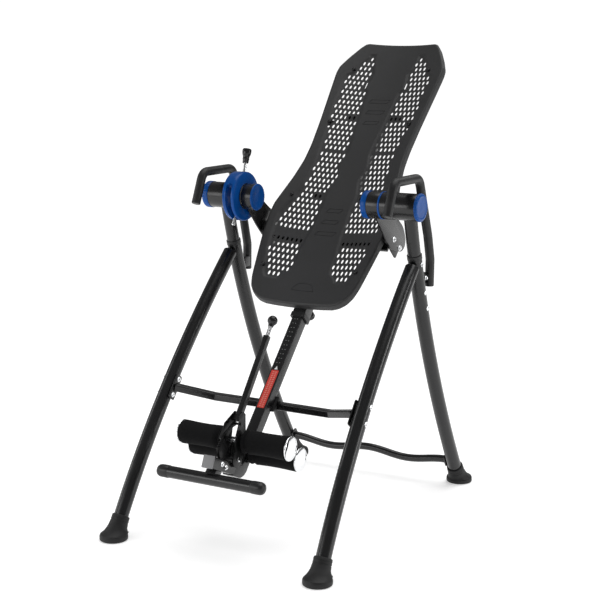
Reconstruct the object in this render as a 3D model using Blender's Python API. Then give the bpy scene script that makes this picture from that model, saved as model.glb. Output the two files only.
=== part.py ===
"""Inversion table: a tubular A-frame that carries a tilting backrest with an ankle clamp.

Every piece is its own object.  The frame stands on the floor plane z = 0 and faces -Y.
The tilting pieces are modelled in the table's own axes, where local X runs across,
local Y runs along the backrest towards the head and local Z points at the user.
"""

import math

import bmesh
import bpy
from mathutils import Matrix, Vector

# ---- driving dimensions, in metres and degrees ------------------------------------
PIVOT_HEIGHT = 1.10
PIVOT_Y = -0.0187
TABLE_LEAN = 42.7
FIT_GAP = 0.0004

LEG_RADIUS = 0.025
LEG_WALL = 0.0018
LEG_FOOT_Z = 0.014
LEG_STEP = 0.1135
FRONT_LEG_TOP = 0.893
REAR_LEG_TOP = 0.922
UPRIGHT_RADIUS = 0.0228
UPRIGHT_BOTTOM = 0.70
UPRIGHT_TOP = 1.075

DRUM_RADIUS = 0.046
DRUM_WALL = 0.0025
DRUM_OUTER_END = 0.402
CAP_END = 0.424
SHAFT_RADIUS = 0.0125
INNER_DRUM_START = 0.2363

SELECTOR_RADIUS = 0.087
SELECTOR_OUTER = 0.312
SELECTOR_INNER = 0.264
SELECTOR_SLOT = (0.2745, 0.2975)

HANDLE_X = 0.374
HANDLE_RADIUS = 0.016
HANDLE_BEND = 0.042

BACKREST_BOTTOM = -0.3215
BACKREST_FACE = -0.165
BACKREST_DISH = 0.5
BACKREST_SKIRT = 0.028
BACKREST_WALL = 0.004

BOOM_DEPTH = -0.2186
BOOM_SIZE = 0.040
BOOM_WALL = 0.002
BOOM_TOP = -0.02
SLEEVE_SIZE = 0.049
SLEEVE_BORE = 0.0408
SLEEVE_ENDS = (-0.375, 0.56)

STEM_TILT = 19.0
STEM_TOP_Y = -0.951
STEM_FRONT = 0.1666
FOOT_BAR = (-1.0437, -0.0875)
FOOT_BAR_RADIUS = 0.020
FOOT_BAR_HALF = 0.183

LEVER_PIVOT = (-0.936, -0.146)
LEVER_TILT = 5.3
LEVER_LINE = 0.0337
FRONT_AXLE = (0.063, 0.0042)
REAR_AXLE = (-0.870, -0.2186)
AXLE_RADIUS = 0.008
ROLLER_RADIUS = 0.0405
ROLLER_END = 0.204
PAWL_PIN = (0.104, 0.046)
RATCHET_RADIUS = 0.0915

TUBE_SIDES = 16
ROUND_SIDES = 28

# Leg centre lines: x = x0 + x1 z and y = y0 + y1 z + y2 z^2, y measured from the pivot.
FRONT_CURVE = (0.392, -0.028, -0.644, 0.537, 0.280)
REAR_CURVE = (0.357, 0.009, 0.515, -0.656, 0.191)

# Half width of the backrest along its length, from the bottom edge to the top edge.
BACKREST_OUTLINE = (
    (0.000, 0.130), (0.007, 0.158), (0.022, 0.182), (0.048, 0.200), (0.085, 0.211),
    (0.170, 0.224), (0.270, 0.238), (0.345, 0.244), (0.400, 0.243), (0.450, 0.232),
    (0.530, 0.214), (0.610, 0.202), (0.680, 0.200), (0.790, 0.205), (0.930, 0.215),
    (1.030, 0.222), (1.062, 0.219), (1.110, 0.198), (1.165, 0.168), (1.182, 0.153),
    (1.188, 0.138),
)

# The bent tube behind the backrest: half its outline, as (x, distance from the bottom).
FRAME_LOOP = (
    (0.060, 0.026), (0.130, 0.026), (0.158, 0.035), (0.176, 0.056), (0.187, 0.088),
    (0.199, 0.170), (0.213, 0.270), (0.219, 0.345), (0.218, 0.400), (0.207, 0.450),
    (0.190, 0.530), (0.178, 0.610), (0.176, 0.680), (0.181, 0.790), (0.191, 0.930),
    (0.197, 1.015), (0.193, 1.052), (0.174, 1.098), (0.146, 1.146), (0.118, 1.163),
    (0.060, 1.163),
)
FRAME_RADIUS = 0.007
FRAME_DROP = 0.0125

# Each screw tab: its screw's x, its y, and how far out the tab reaches to the tube.
SCREW_TABS = ((0.157, 0.7335, 0.190), (0.165, 0.4745, 0.181), (0.190, 0.1265, 0.207),
              (0.187, -0.1835, 0.195))


# ---- scene and material helpers ---------------------------------------------------
def clear_scene():
    for item in list(bpy.data.objects):
        bpy.data.objects.remove(item, do_unlink=True)


def make_material(name, colour, roughness, metallic=0.0):
    material = bpy.data.materials.new(name)
    material.use_nodes = True
    shader = material.node_tree.nodes["Principled BSDF"]
    shader.inputs["Base Color"].default_value = (*colour, 1.0)
    shader.inputs["Roughness"].default_value = roughness
    shader.inputs["Metallic"].default_value = metallic
    return material


def make_empty(name, parent=None, location=(0, 0, 0), pitch=0.0):
    empty = bpy.data.objects.new(name, None)
    empty.location = location
    empty.rotation_euler = (math.radians(pitch), 0, 0)
    empty.parent = parent
    bpy.context.scene.collection.objects.link(empty)
    return empty


def add_object(name, bm, parent, material=None):
    """Close the bmesh into a named object; round faces are smooth, hard edges sharp."""
    bmesh.ops.recalc_face_normals(bm, faces=bm.faces)
    mesh = bpy.data.meshes.new(name)
    bm.to_mesh(mesh)
    bm.free()
    mesh.shade_smooth()
    mesh.set_sharp_from_angle(angle=math.radians(40))
    item = bpy.data.objects.new(name, mesh)
    item.parent = parent
    if material is not None:
        mesh.materials.append(material)
    bpy.context.scene.collection.objects.link(item)
    return item


def add_cutter(name, bm, parent):
    cutter = add_object(name, bm, parent)
    cutter.hide_render = True
    cutter.display_type = "WIRE"
    return cutter


def combine(item, other, operation):
    modifier = item.modifiers.new(other.name, "BOOLEAN")
    modifier.operation = operation
    modifier.object = other


# ---- shape helpers ----------------------------------------------------------------
def box(x, y, z, bm=None):
    """A box between three (low, high) pairs."""
    bm = bm or bmesh.new()
    size = Vector((x[1] - x[0], y[1] - y[0], z[1] - z[0]))
    centre = Vector((x[0] + x[1], y[0] + y[1], z[0] + z[1])) / 2
    matrix = Matrix.Translation(centre) @ Matrix.Diagonal((*size, 1.0))
    bmesh.ops.create_cube(bm, size=1.0, matrix=matrix)
    return bm


def plate(outline, x):
    """Extrude an outline of (y, z) points between two x positions."""
    bm = bmesh.new()
    face = bm.faces.new([bm.verts.new((x[0], y, z)) for y, z in outline])
    grown = bmesh.ops.extrude_face_region(bm, geom=[face])
    moved = [part for part in grown["geom"] if isinstance(part, bmesh.types.BMVert)]
    bmesh.ops.translate(bm, verts=moved, vec=(x[1] - x[0], 0, 0))
    return bm


def ring_points(centre, side, up, radius, sides):
    steps = [2 * math.pi * index / sides for index in range(sides)]
    return [centre + radius * (math.cos(a) * side + math.sin(a) * up) for a in steps]


def bridge(bm, first, second):
    count = len(first)
    for index in range(count):
        after = (index + 1) % count
        bm.faces.new((first[index], first[after], second[after], second[index]))


def tube(path, outer, inner=0.0, sides=TUBE_SIDES):
    """A round tube, or a rod where inner is 0, along a list of points."""
    bm = bmesh.new()
    points = [Vector(point) for point in path]
    side = None
    outside, inside = [], []
    for index, point in enumerate(points):
        before = points[max(index - 1, 0)]
        after = points[min(index + 1, len(points) - 1)]
        along = (after - before).normalized()
        if side is None:
            start = Vector((1, 0, 0)) if abs(along.x) < 0.8 else Vector((0, 0, 1))
            side = start
        side = (side - along * side.dot(along)).normalized()
        up = along.cross(side)
        ring = ring_points(point, side, up, outer, sides)
        outside.append([bm.verts.new(place) for place in ring])
        if inner > 0:
            ring = ring_points(point, side, up, inner, sides)
            inside.append([bm.verts.new(place) for place in ring])
    for first, second in zip(outside, outside[1:]):
        bridge(bm, first, second)
    if inner > 0:
        for first, second in zip(inside, inside[1:]):
            bridge(bm, first, second)
        bridge(bm, outside[0], inside[0])
        bridge(bm, outside[-1], inside[-1])
    else:
        bm.faces.new(outside[0])
        bm.faces.new(outside[-1])
    return bm


def closed_tube(path, radius, sides):
    """A rod along a closed ring of points, all near one plane across Z."""
    bm = bmesh.new()
    points = [Vector(point) for point in path]
    count = len(points)
    loops = []
    for index, point in enumerate(points):
        along = (points[(index + 1) % count] - points[index - 1]).normalized()
        side = along.cross(Vector((0, 0, 1))).normalized()
        ring = ring_points(point, side, side.cross(along), radius, sides)
        loops.append([bm.verts.new(place) for place in ring])
    for index in range(count):
        bridge(bm, loops[index], loops[(index + 1) % count])
    return bm


def turned(profile, sides=ROUND_SIDES):
    """Turn a closed (x, radius) profile about the X axis."""
    bm = bmesh.new()
    rings = []
    for x, radius in profile:
        if radius <= 0:
            rings.append([bm.verts.new((x, 0, 0))])
            continue
        ring = ring_points(Vector((x, 0, 0)), Vector((0, 1, 0)), Vector((0, 0, 1)),
                           radius, sides)
        rings.append([bm.verts.new(place) for place in ring])
    for first, second in zip(rings, rings[1:] + rings[:1]):
        if len(first) == 1 and len(second) == 1:
            continue
        if len(first) == 1 or len(second) == 1:
            centre, ring = (first[0], second) if len(first) == 1 else (second[0], first)
            for index in range(sides):
                bm.faces.new((centre, ring[index], ring[(index + 1) % sides]))
            continue
        bridge(bm, first, second)
    return bm


def mirrored(profile, side):
    return [(side * x, radius) for x, radius in profile]


def box_tube(first, second, hole_first=None, hole_second=None):
    """A tube between two four-point sections, hollow where the hole sections are given."""
    bm = bmesh.new()
    ends = [[bm.verts.new(point) for point in section] for section in (first, second)]
    bridge(bm, ends[0], ends[1])
    if hole_first is None:
        bm.faces.new(ends[0])
        bm.faces.new(ends[1])
        return bm
    holes = [[bm.verts.new(point) for point in section]
             for section in (hole_first, hole_second)]
    bridge(bm, holes[0], holes[1])
    bridge(bm, ends[0], holes[0])
    bridge(bm, ends[1], holes[1])
    return bm


def square(half, depth, front_y, back_y):
    """Corners of a section across the boom; the front and back edges may lie apart."""
    return ((-half, front_y, depth + half), (half, front_y, depth + half),
            (half, back_y, depth - half), (-half, back_y, depth - half))


def moved(bm, offset, pitch=0.0):
    """Turn about X and then shift every vertex."""
    matrix = Matrix.Translation(offset) @ Matrix.Rotation(math.radians(pitch), 4, "X")
    bmesh.ops.transform(bm, matrix=matrix, verts=bm.verts)
    return bm


def rounded_path(corners, radius, steps=5):
    """A polyline whose corners are replaced by arcs."""
    points = [Vector(corner) for corner in corners]
    path = [points[0]]
    for before, corner, after in zip(points, points[1:], points[2:]):
        back = (before - corner).normalized()
        ahead = (after - corner).normalized()
        half = back.angle(ahead) / 2
        reach = radius / math.tan(half)
        reach = min(reach, 0.48 * min((before - corner).length, (after - corner).length))
        start, end = corner + back * reach, corner + ahead * reach
        for index in range(steps + 1):
            t = index / steps
            path.append(start * (1 - t) ** 2 + corner * 2 * t * (1 - t) + end * t * t)
    path.append(points[-1])
    return path


def leg_point(curve, side, z):
    x0, x1, y0, y1, y2 = curve
    return Vector((side * (x0 + x1 * z), y0 + y1 * z + y2 * z * z, z))


def leg_path(curve, side, low, high):
    """The leg's run of straight facets between two heights; all cuts share its joints."""
    joints = [LEG_FOOT_Z + LEG_STEP * index for index in range(-1, 12)]
    path = []
    for start, end in zip(joints, joints[1:]):
        first, last = leg_point(curve, side, start), leg_point(curve, side, end)
        for height in (low, start, high):
            if start <= height < end and low <= height <= high:
                point = first.lerp(last, (height - start) / (end - start))
                if not path or (point - path[-1]).length > 0.001:
                    path.append(point)
    return path


def stem_line(depth, offset=0.0):
    """The stem's centre line in the table's axes: y at a given depth."""
    slope = math.tan(math.radians(STEM_TILT))
    front = BOOM_DEPTH + BOOM_SIZE / 2
    return STEM_TOP_Y - slope * (depth - front) + offset / math.cos(math.radians(STEM_TILT))


SIDES = (("left", -1), ("right", 1))


# ---- the standing frame -----------------------------------------------------------
def build_legs(parent, paint):
    for label, side in SIDES:
        add_object(
            f"rear_leg_{label}",
            tube(leg_path(REAR_CURVE, side, LEG_FOOT_Z, REAR_LEG_TOP),
                 LEG_RADIUS, LEG_RADIUS - LEG_WALL),
            parent, paint)
        front = add_object(
            f"front_leg_{label}",
            tube(leg_path(FRONT_CURVE, side, LEG_FOOT_Z, FRONT_LEG_TOP),
                 LEG_RADIUS, LEG_RADIUS - LEG_WALL),
            parent, paint)
        saddle = add_cutter(
            f"saddle_cutter_{label}",
            tube(leg_path(REAR_CURVE, side, 0.74, 1.02), LEG_RADIUS + FIT_GAP),
            parent)
        combine(front, saddle, "DIFFERENCE")
        upright = add_object(
            f"upright_{label}",
            tube(leg_path(REAR_CURVE, side, UPRIGHT_BOTTOM, UPRIGHT_TOP),
                 UPRIGHT_RADIUS, UPRIGHT_RADIUS - LEG_WALL),
            parent, paint)
        room = DRUM_RADIUS + FIT_GAP
        drum = [(0.24, 0), (0.24, room), (0.45, room), (0.45, 0)]
        housing = moved(turned(mirrored(drum, side)), (0, 0, PIVOT_HEIGHT))
        combine(upright, add_cutter(f"upright_cutter_{label}", housing, parent),
                "DIFFERENCE")


def boot_mesh(curve, side):
    """A rubber boot: a flat round base that leans up into a collar around the leg."""
    foot = leg_point(curve, side, 0.0)
    along = (leg_point(curve, side, 0.08) - foot).normalized()
    level = Vector((0, 0, 1))
    rings = ((0.000, 0.0460, 0.0), (0.003, 0.0480, 0.0), (0.016, 0.0480, 0.0),
             (0.021, 0.0450, 0.15), (0.030, 0.0370, 0.6), (0.042, 0.0320, 1.0),
             (0.072, 0.0290, 1.0))
    bm = bmesh.new()
    loops = []
    for height, radius, lean in rings:
        normal = level.lerp(along, lean).normalized()
        centre = foot + along * (height / along.z) if height > 0.02 else foot + level * height
        across = (Vector((1, 0, 0)) - normal * normal.x).normalized()
        ring = ring_points(centre, across, normal.cross(across), radius, 24)
        loops.append([bm.verts.new(place) for place in ring])
    for first, second in zip(loops, loops[1:]):
        bridge(bm, first, second)
    bm.faces.new(loops[0])
    bm.faces.new(loops[-1])
    return bm


def build_feet(parent, rubber):
    for row, curve in (("front", FRONT_CURVE), ("rear", REAR_CURVE)):
        for label, side in SIDES:
            boot = add_object(f"{row}_foot_{label}", boot_mesh(curve, side), parent, rubber)
            socket = add_cutter(
                f"{row}_socket_{label}",
                tube(leg_path(curve, side, LEG_FOOT_Z - FIT_GAP, 0.16),
                     LEG_RADIUS + FIT_GAP),
                parent)
            combine(boot, socket, "DIFFERENCE")


def build_front_stretcher(parent, paint, rubber):
    """A flat bar with two bends, its end plates on the inner sides of the front legs."""
    half = 0.0125
    end, bend, middle = (0.3485, -0.334, 0.464), (0.226, -0.266, 0.431), -0.264
    stops = [(-end[0], end[1], end[2]), (-bend[0], bend[1], bend[2]), (0, middle, bend[2]),
             bend, end]
    bm = bmesh.new()
    loops = []
    for x, y, z in stops:
        corners = ((-half, -half), (half, -half), (half, half), (-half, half))
        loops.append([bm.verts.new((x, y + dy, z + dz)) for dy, dz in corners])
    for first, second in zip(loops, loops[1:]):
        bridge(bm, first, second)
    bm.faces.new(loops[0])
    bm.faces.new(loops[-1])
    bar = add_object("front_stretcher", bm, parent, paint)
    for label, side in SIDES:
        low, high = sorted((side * 0.3475, side * 0.3520))
        flange = moved(box((low, high), (-0.017, 0.017), (-0.045, 0.045)),
                       (0, end[1], end[2]), -38.5)
        combine(bar, add_cutter(f"stretcher_flange_{label}", flange, parent), "UNION")
    edge = middle - half - FIT_GAP
    top = bend[2] + half + FIT_GAP
    outline = ((edge, bend[2] - half), (edge, top), (middle + half, top),
               (-0.2620, 0.4625), (-0.3040, 0.4185))
    add_object("boom_bumper", plate(outline, (-0.028, 0.028)), parent, rubber)


def build_rear_crossbar(parent, paint):
    """A round bar with two shallow dips between flanges on the rear legs."""
    half_span, y, z, dip = 0.3275, 0.457, 0.097, 0.018
    count = 24
    path = []
    for index in range(count + 1):
        across = 2 * index / count - 1
        drop = dip * math.sin(math.pi * abs(across)) ** 2
        path.append((half_span * across, y, z - drop))
    bar = add_object("rear_crossbar", tube(path, 0.014, 0.0122, 12), parent, paint)
    for label, side in SIDES:
        low, high = sorted((side * 0.3260, side * 0.3320))
        flange = moved(box((low, high), (-0.017, 0.017), (-0.024, 0.024)), (0, y, z), 31.5)
        combine(bar, add_cutter(f"crossbar_flange_{label}", flange, parent), "UNION")
        bore = [(0.300, 0), (0.300, 0.0100), (0.345, 0.0100), (0.345, 0)]
        opening = moved(turned(mirrored(bore, side), 12), (0, y, z))
        combine(bar, add_cutter(f"crossbar_bore_{label}", opening, parent), "DIFFERENCE")


def build_handles(parent, grip):
    corners = ((-0.157, 1.082), (-0.110, 1.190), (0.080, 1.190), (0.158, 0.985),
               (0.180, 0.900), (0.178, 0.806))
    for label, side in SIDES:
        path = rounded_path([(side * HANDLE_X, y, z) for y, z in corners], HANDLE_BEND)
        handle = add_object(f"handle_{label}", tube(path, HANDLE_RADIUS, 0.0, 12),
                            parent, grip)
        low, high = sorted((side * (HANDLE_X - 0.018), side * (HANDLE_X - 0.002)))
        tab = box((low, high), (0.1360, 0.170), (0.818, 0.856))
        combine(handle, add_cutter(f"handle_tab_{label}", tab, parent), "UNION")


# ---- pieces round the tilt axis ---------------------------------------------------
def build_housings(parent, paint, blue, nylon):
    for label, side in SIDES:
        start = 0.2865 if side > 0 else 0.2630
        shell = [(start, DRUM_RADIUS - DRUM_WALL), (start, DRUM_RADIUS),
                 (DRUM_OUTER_END, DRUM_RADIUS), (DRUM_OUTER_END, DRUM_RADIUS - DRUM_WALL)]
        add_object(f"pivot_housing_{label}", turned(mirrored(shell, side)), parent, paint)
        bore, outside = SHAFT_RADIUS + FIT_GAP, DRUM_RADIUS - DRUM_WALL - FIT_GAP
        bush = [(start + 0.003, bore), (start + 0.003, outside), (0.399, outside),
                (0.399, bore)]
        add_object(f"pivot_bush_{label}", turned(mirrored(bush, side)), parent, nylon)
        edge = 0.0475
        cap = [(DRUM_OUTER_END + FIT_GAP, 0), (DRUM_OUTER_END + FIT_GAP, edge),
               (0.4175, edge), (0.4225, edge - 0.004), (CAP_END, edge - 0.012),
               (CAP_END, 0)]
        add_object(f"outer_cap_{label}", turned(mirrored(cap, side)), parent, blue)


def build_bearing_ring(parent, blue):
    low, high = 0.2800, 0.2860
    ring = [(low, SHAFT_RADIUS + FIT_GAP), (low, 0.0475), (high, 0.0475),
            (high, SHAFT_RADIUS + FIT_GAP)]
    add_object("bearing_ring", turned(ring), parent, blue)


def sector(x, radii, start, end, steps=8):
    """Part of a ring about X; angles run from +Y down through -Z, in degrees."""
    bm = bmesh.new()
    loops = []
    for index in range(steps + 1):
        angle = math.radians(start + (end - start) * index / steps)
        y, z = math.cos(angle), -math.sin(angle)
        places = [(x[0], radii[0]), (x[1], radii[0]), (x[1], radii[1]), (x[0], radii[1])]
        loops.append([bm.verts.new((px, y * r, z * r)) for px, r in places])
    for first, second in zip(loops, loops[1:]):
        bridge(bm, first, second)
    bm.faces.new(loops[0])
    bm.faces.new(loops[-1])
    return bm


def build_selector_drum(parent, blue):
    """The tilt-limit selector's fixed drum, with a slot for its pin and one for its rod."""
    bore = DRUM_RADIUS + FIT_GAP
    near, far = -SELECTOR_SLOT[0], -SELECTOR_SLOT[1]
    profile = [(-SELECTOR_OUTER, bore), (-SELECTOR_OUTER, SELECTOR_RADIUS - 0.003),
               (-SELECTOR_OUTER + 0.003, SELECTOR_RADIUS),
               (-SELECTOR_INNER - 0.003, SELECTOR_RADIUS),
               (-SELECTOR_INNER, SELECTOR_RADIUS - 0.003), (-SELECTOR_INNER, bore),
               (near, bore), (near, 0.0565), (far, 0.0565), (far, bore)]
    drum = add_object("selector_drum", turned(profile), parent, blue)
    for name, start, end in (("pin_slot", 108, 208), ("rod_slot", 277, 352)):
        cutter = add_cutter(name, sector((far, near), (0.050, 0.095), start, end), parent)
        combine(drum, cutter, "DIFFERENCE")


def radial_turn(profile, x, angle):
    """A piece turned about a line that leaves the tilt axis at an angle, as in sector."""
    bm = turned(profile, 14)
    turn = math.radians(angle)
    outward = Vector((0, math.cos(turn), -math.sin(turn)))
    across = Vector((1, 0, 0))
    matrix = Matrix((outward, across, outward.cross(across))).transposed().to_4x4()
    bmesh.ops.transform(bm, matrix=Matrix.Translation((x, 0, 0)) @ matrix, verts=bm.verts)
    return bm


def build_selector_lever(parent, chrome, black):
    near, far = -SELECTOR_SLOT[0] - 0.001, -SELECTOR_SLOT[1] + 0.001
    middle = (near + far) / 2
    hub = [(near, 0.0470), (near, 0.0555), (far, 0.0555), (far, 0.0470)]
    lever = add_object("selector_lever", turned(hub), parent, chrome)
    rod = [(0.052, 0), (0.052, 0.0065), (0.1335, 0.0065), (0.1335, 0)]
    pin = [(0.052, 0), (0.052, 0.0065), (0.110, 0.0065), (0.112, 0.0050), (0.112, 0)]
    for name, profile, angle in (("selector_rod", rod, 285), ("selector_pin", pin, 118)):
        combine(lever, add_cutter(name, radial_turn(profile, middle, angle), parent), "UNION")
    knob = [(0.118, 0.0069), (0.118, 0.0105), (0.140, 0.0125), (0.150, 0.0160),
            (0.166, 0.0165), (0.171, 0.0125), (0.172, 0), (0.134, 0), (0.134, 0.0069)]
    add_object("selector_knob", radial_turn(knob, middle, 285), parent, black)


# ---- the tilting table ------------------------------------------------------------
def build_inner_drums(parent, paint, blue):
    """The turning halves of the housings, each with its shaft, and their caps."""
    for label, side in SIDES:
        end = 0.2795 if side > 0 else 0.2595
        web = end - 0.006
        drum = [(web, 0), (web, 0.0425), (INNER_DRUM_START, 0.0425),
                (INNER_DRUM_START, DRUM_RADIUS), (end, DRUM_RADIUS), (end, SHAFT_RADIUS),
                (0.396, SHAFT_RADIUS), (0.396, 0)]
        add_object(f"pivot_drum_{label}", turned(mirrored(drum, side)), parent, paint)
        cap = [(INNER_DRUM_START - FIT_GAP, 0), (INNER_DRUM_START - FIT_GAP, 0.0475),
               (0.218, 0.0475), (0.214, 0.0435), (0.214, 0)]
        add_object(f"inner_cap_{label}", turned(mirrored(cap, side)), parent, blue)


def build_hinge_arms(parent, paint):
    outline = ((-0.036, -0.020), (-0.045, -0.120), (-0.045, -0.224), (-0.036, -0.240),
               (-0.016, -0.244), (0.012, -0.236), (0.036, -0.205), (0.049, -0.160),
               (0.052, -0.100), (0.042, -0.020))
    for label, side in SIDES:
        low, high = sorted((side * 0.2520, side * 0.2580))
        arm = add_object(f"hinge_arm_{label}", plate(outline, (low, high)), parent, paint)
        start, end = side * 0.230, side * 0.270
        room = DRUM_RADIUS + FIT_GAP
        cutter = turned([(start, 0), (start, room), (end, room), (end, 0)])
        combine(arm, add_cutter(f"arm_cutter_{label}", cutter, parent), "DIFFERENCE")


def build_pivot_beam(parent, paint):
    beam = add_object("pivot_beam",
                      box((-0.2515, 0.2515), (-0.060, -0.010), (-0.1930, -0.1810)),
                      parent, paint)
    for label, side in SIDES:
        low, high = sorted((side * 0.2465, side * 0.2516))
        flange = box((low, high), (-0.044, -0.002), (-0.236, -0.146))
        combine(beam, add_cutter(f"beam_flange_{label}", flange, parent), "UNION")


def build_backrest_frame(parent, paint):
    """A tube bent round the back of the shell, with screw tabs and two feet on the beam."""
    points = [(x, BACKREST_BOTTOM + along) for x, along in FRAME_LOOP]
    points += [(-x, y) for x, y in reversed(points)]
    path = [(x, y, face_depth(x) - FRAME_DROP) for x, y in points]
    frame = add_object("backrest_frame", closed_tube(path, FRAME_RADIUS, 10), parent, paint)
    for index, (x, y, reach) in enumerate(SCREW_TABS):
        for label, side in SIDES:
            low, high = sorted((side * (x - 0.012), side * reach))
            depth = face_depth(x) - 0.0085
            tab = box((low, high), (y - 0.012, y + 0.012), (depth - 0.004, depth))
            combine(frame, add_cutter(f"tab_{index}_{label}", tab, parent), "UNION")
    for label, side in SIDES:
        low, high = sorted((side * 0.198, side * 0.218))
        foot = box((low, high), (-0.052, -0.018), (-0.1806, -0.1560))
        combine(frame, add_cutter(f"frame_foot_{label}", foot, parent), "UNION")


def build_spine_sleeve(parent, paint, plastic):
    """The square sleeve that the boom slides in, with its lugs and lock-pin boss."""
    low, high = SLEEVE_ENDS
    outer, inner = SLEEVE_SIZE / 2, SLEEVE_BORE / 2
    sleeve = add_object(
        "spine_sleeve",
        box_tube(square(outer, BOOM_DEPTH, low, low), square(outer, BOOM_DEPTH, high, high),
                 square(inner, BOOM_DEPTH, low, low), square(inner, BOOM_DEPTH, high, high)),
        parent, paint)
    front, back = BOOM_DEPTH + outer, BOOM_DEPTH - outer
    for index, place in enumerate((0.147, 0.515)):
        lug = box((-0.020, 0.020), (place - 0.012, place + 0.012), (front - 0.001, -0.1725))
        combine(sleeve, add_cutter(f"sleeve_lug_{index}", lug, parent), "UNION")
    for index, place in enumerate((0.147, 0.515)):
        bar = box((-0.1175, 0.1175), (place - 0.0145, place + 0.0145), (-0.1755, -0.1705))
        combine(sleeve, add_cutter(f"cross_plate_{index}", bar, parent), "UNION")
    weld = box((-0.022, 0.022), (-0.052, -0.018), (front - 0.001, -0.1934))
    combine(sleeve, add_cutter("sleeve_weld_pad", weld, parent), "UNION")
    boss = lock_axis_piece([(0.0, 0), (0.0, 0.012), (0.016, 0.012), (0.016, 0)], back + 0.001)
    combine(sleeve, add_cutter("lock_boss", boss, parent), "UNION")
    hole = lock_axis_piece([(0.0, 0), (0.0, 0.0054), (0.04, 0.0054), (0.04, 0)],
                           BOOM_DEPTH - inner + 0.003)
    combine(sleeve, add_cutter("lock_hole", hole, parent), "DIFFERENCE")
    room, edge = BOOM_SIZE / 2 + FIT_GAP, 0.0275
    add_object(
        "sleeve_collar",
        box_tube(square(edge, BOOM_DEPTH, -0.3925, -0.3925),
                 square(edge, BOOM_DEPTH, low - FIT_GAP, low - FIT_GAP),
                 square(room, BOOM_DEPTH, -0.3925, -0.3925),
                 square(room, BOOM_DEPTH, low - FIT_GAP, low - FIT_GAP)),
        parent, plastic)


LOCK_PIN_Y = -0.300


def lock_axis_piece(profile, depth):
    """Turn a (distance behind depth, radius) profile about the lock pin's axis."""
    bm = turned(profile, 16)
    matrix = Matrix(((0, 1, 0), (0, 0, 1), (-1, 0, 0))).to_4x4()
    place = Matrix.Translation((0, LOCK_PIN_Y, depth)) @ matrix
    bmesh.ops.transform(bm, matrix=place, verts=bm.verts)
    return bm


def build_lock_pin(parent, black):
    """The spring pin that holds the boom at a height setting, with its pull knob."""
    tip = BOOM_DEPTH - BOOM_SIZE / 2 - FIT_GAP
    profile = [(0.0, 0), (0.0, 0.0050), (0.0225, 0.0050), (0.0225, 0.0130),
               (0.0265, 0.0160), (0.0420, 0.0160), (0.0460, 0.0120), (0.0460, 0)]
    add_object("height_lock_pin", lock_axis_piece(profile, tip), parent, black)


def face_depth(x):
    return BACKREST_FACE + BACKREST_DISH * x * x


def build_backrest(parent, plastic):
    """A moulded shell: a face dished across its width and a skirt round its edge."""
    columns = 8
    bm = bmesh.new()
    grid = []
    for along, half in BACKREST_OUTLINE:
        row = []
        for column in range(columns + 1):
            x = half * (2 * column / columns - 1)
            y = BACKREST_BOTTOM + along
            row.append(bm.verts.new((x, y, face_depth(x))))
        grid.append(row)
    for low, high in zip(grid, grid[1:]):
        for index in range(columns):
            bm.faces.new((low[index], low[index + 1], high[index + 1], high[index]))
    rim = [edge for edge in bm.edges if edge.is_boundary]
    grown = bmesh.ops.extrude_edge_only(bm, edges=rim)
    skirt = [part for part in grown["geom"] if isinstance(part, bmesh.types.BMVert)]
    bmesh.ops.translate(bm, verts=skirt, vec=(0, 0, -BACKREST_SKIRT))
    shell = add_object("backrest", bm, parent, plastic)
    wall = shell.modifiers.new("Wall", "SOLIDIFY")
    wall.thickness = BACKREST_WALL
    wall.offset = -1.0
    wall.use_even_offset = True


# ---- the sliding boom and footrest ------------------------------------------------
def build_boom(parent, paint, plastic, grey):
    outer, inner = BOOM_SIZE / 2, BOOM_SIZE / 2 - BOOM_WALL
    front, back = BOOM_DEPTH + outer, BOOM_DEPTH - outer
    floor = 0.004
    low_front, low_back = stem_line(front, -outer), stem_line(back, -outer)
    boom = add_object(
        "boom",
        box_tube(square(outer, BOOM_DEPTH, BOOM_TOP, BOOM_TOP),
                 square(outer, BOOM_DEPTH, low_front, low_back)),
        parent, paint)
    hollow = box_tube(square(inner, BOOM_DEPTH, BOOM_TOP + 0.01, BOOM_TOP + 0.01),
                      square(inner, BOOM_DEPTH, low_front + floor, low_back + floor))
    combine(boom, add_cutter("boom_hollow", hollow, parent), "DIFFERENCE")
    axle_bore = moved(turned([(-0.05, 0), (-0.05, AXLE_RADIUS + FIT_GAP),
                              (0.05, AXLE_RADIUS + FIT_GAP), (0.05, 0)], 12),
                      (0, *REAR_AXLE))
    combine(boom, add_cutter("rear_axle_bore", axle_bore, parent), "DIFFERENCE")

    stem_root = make_empty("stem_axes", parent, (0, STEM_TOP_Y, front), STEM_TILT)
    slope = math.tan(math.radians(STEM_TILT))

    def stem_section(half, z_centre, slanted):
        shear = half * slope if slanted else 0.0
        return ((-half, half, z_centre - shear), (half, half, z_centre - shear),
                (half, -half, z_centre + shear), (-half, -half, z_centre + shear))

    start = FIT_GAP / math.cos(math.radians(STEM_TILT))
    add_object(
        "footrest_stem",
        box_tube(stem_section(outer, start, True), stem_section(outer, STEM_FRONT, False),
                 stem_section(inner, start, True), stem_section(inner, STEM_FRONT, False)),
        stem_root, paint)
    plug = box((-0.021, 0.021), (-0.021, 0.021), (STEM_FRONT + FIT_GAP, STEM_FRONT + 0.006))
    add_object("stem_plug", plug, stem_root, grey)


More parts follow.
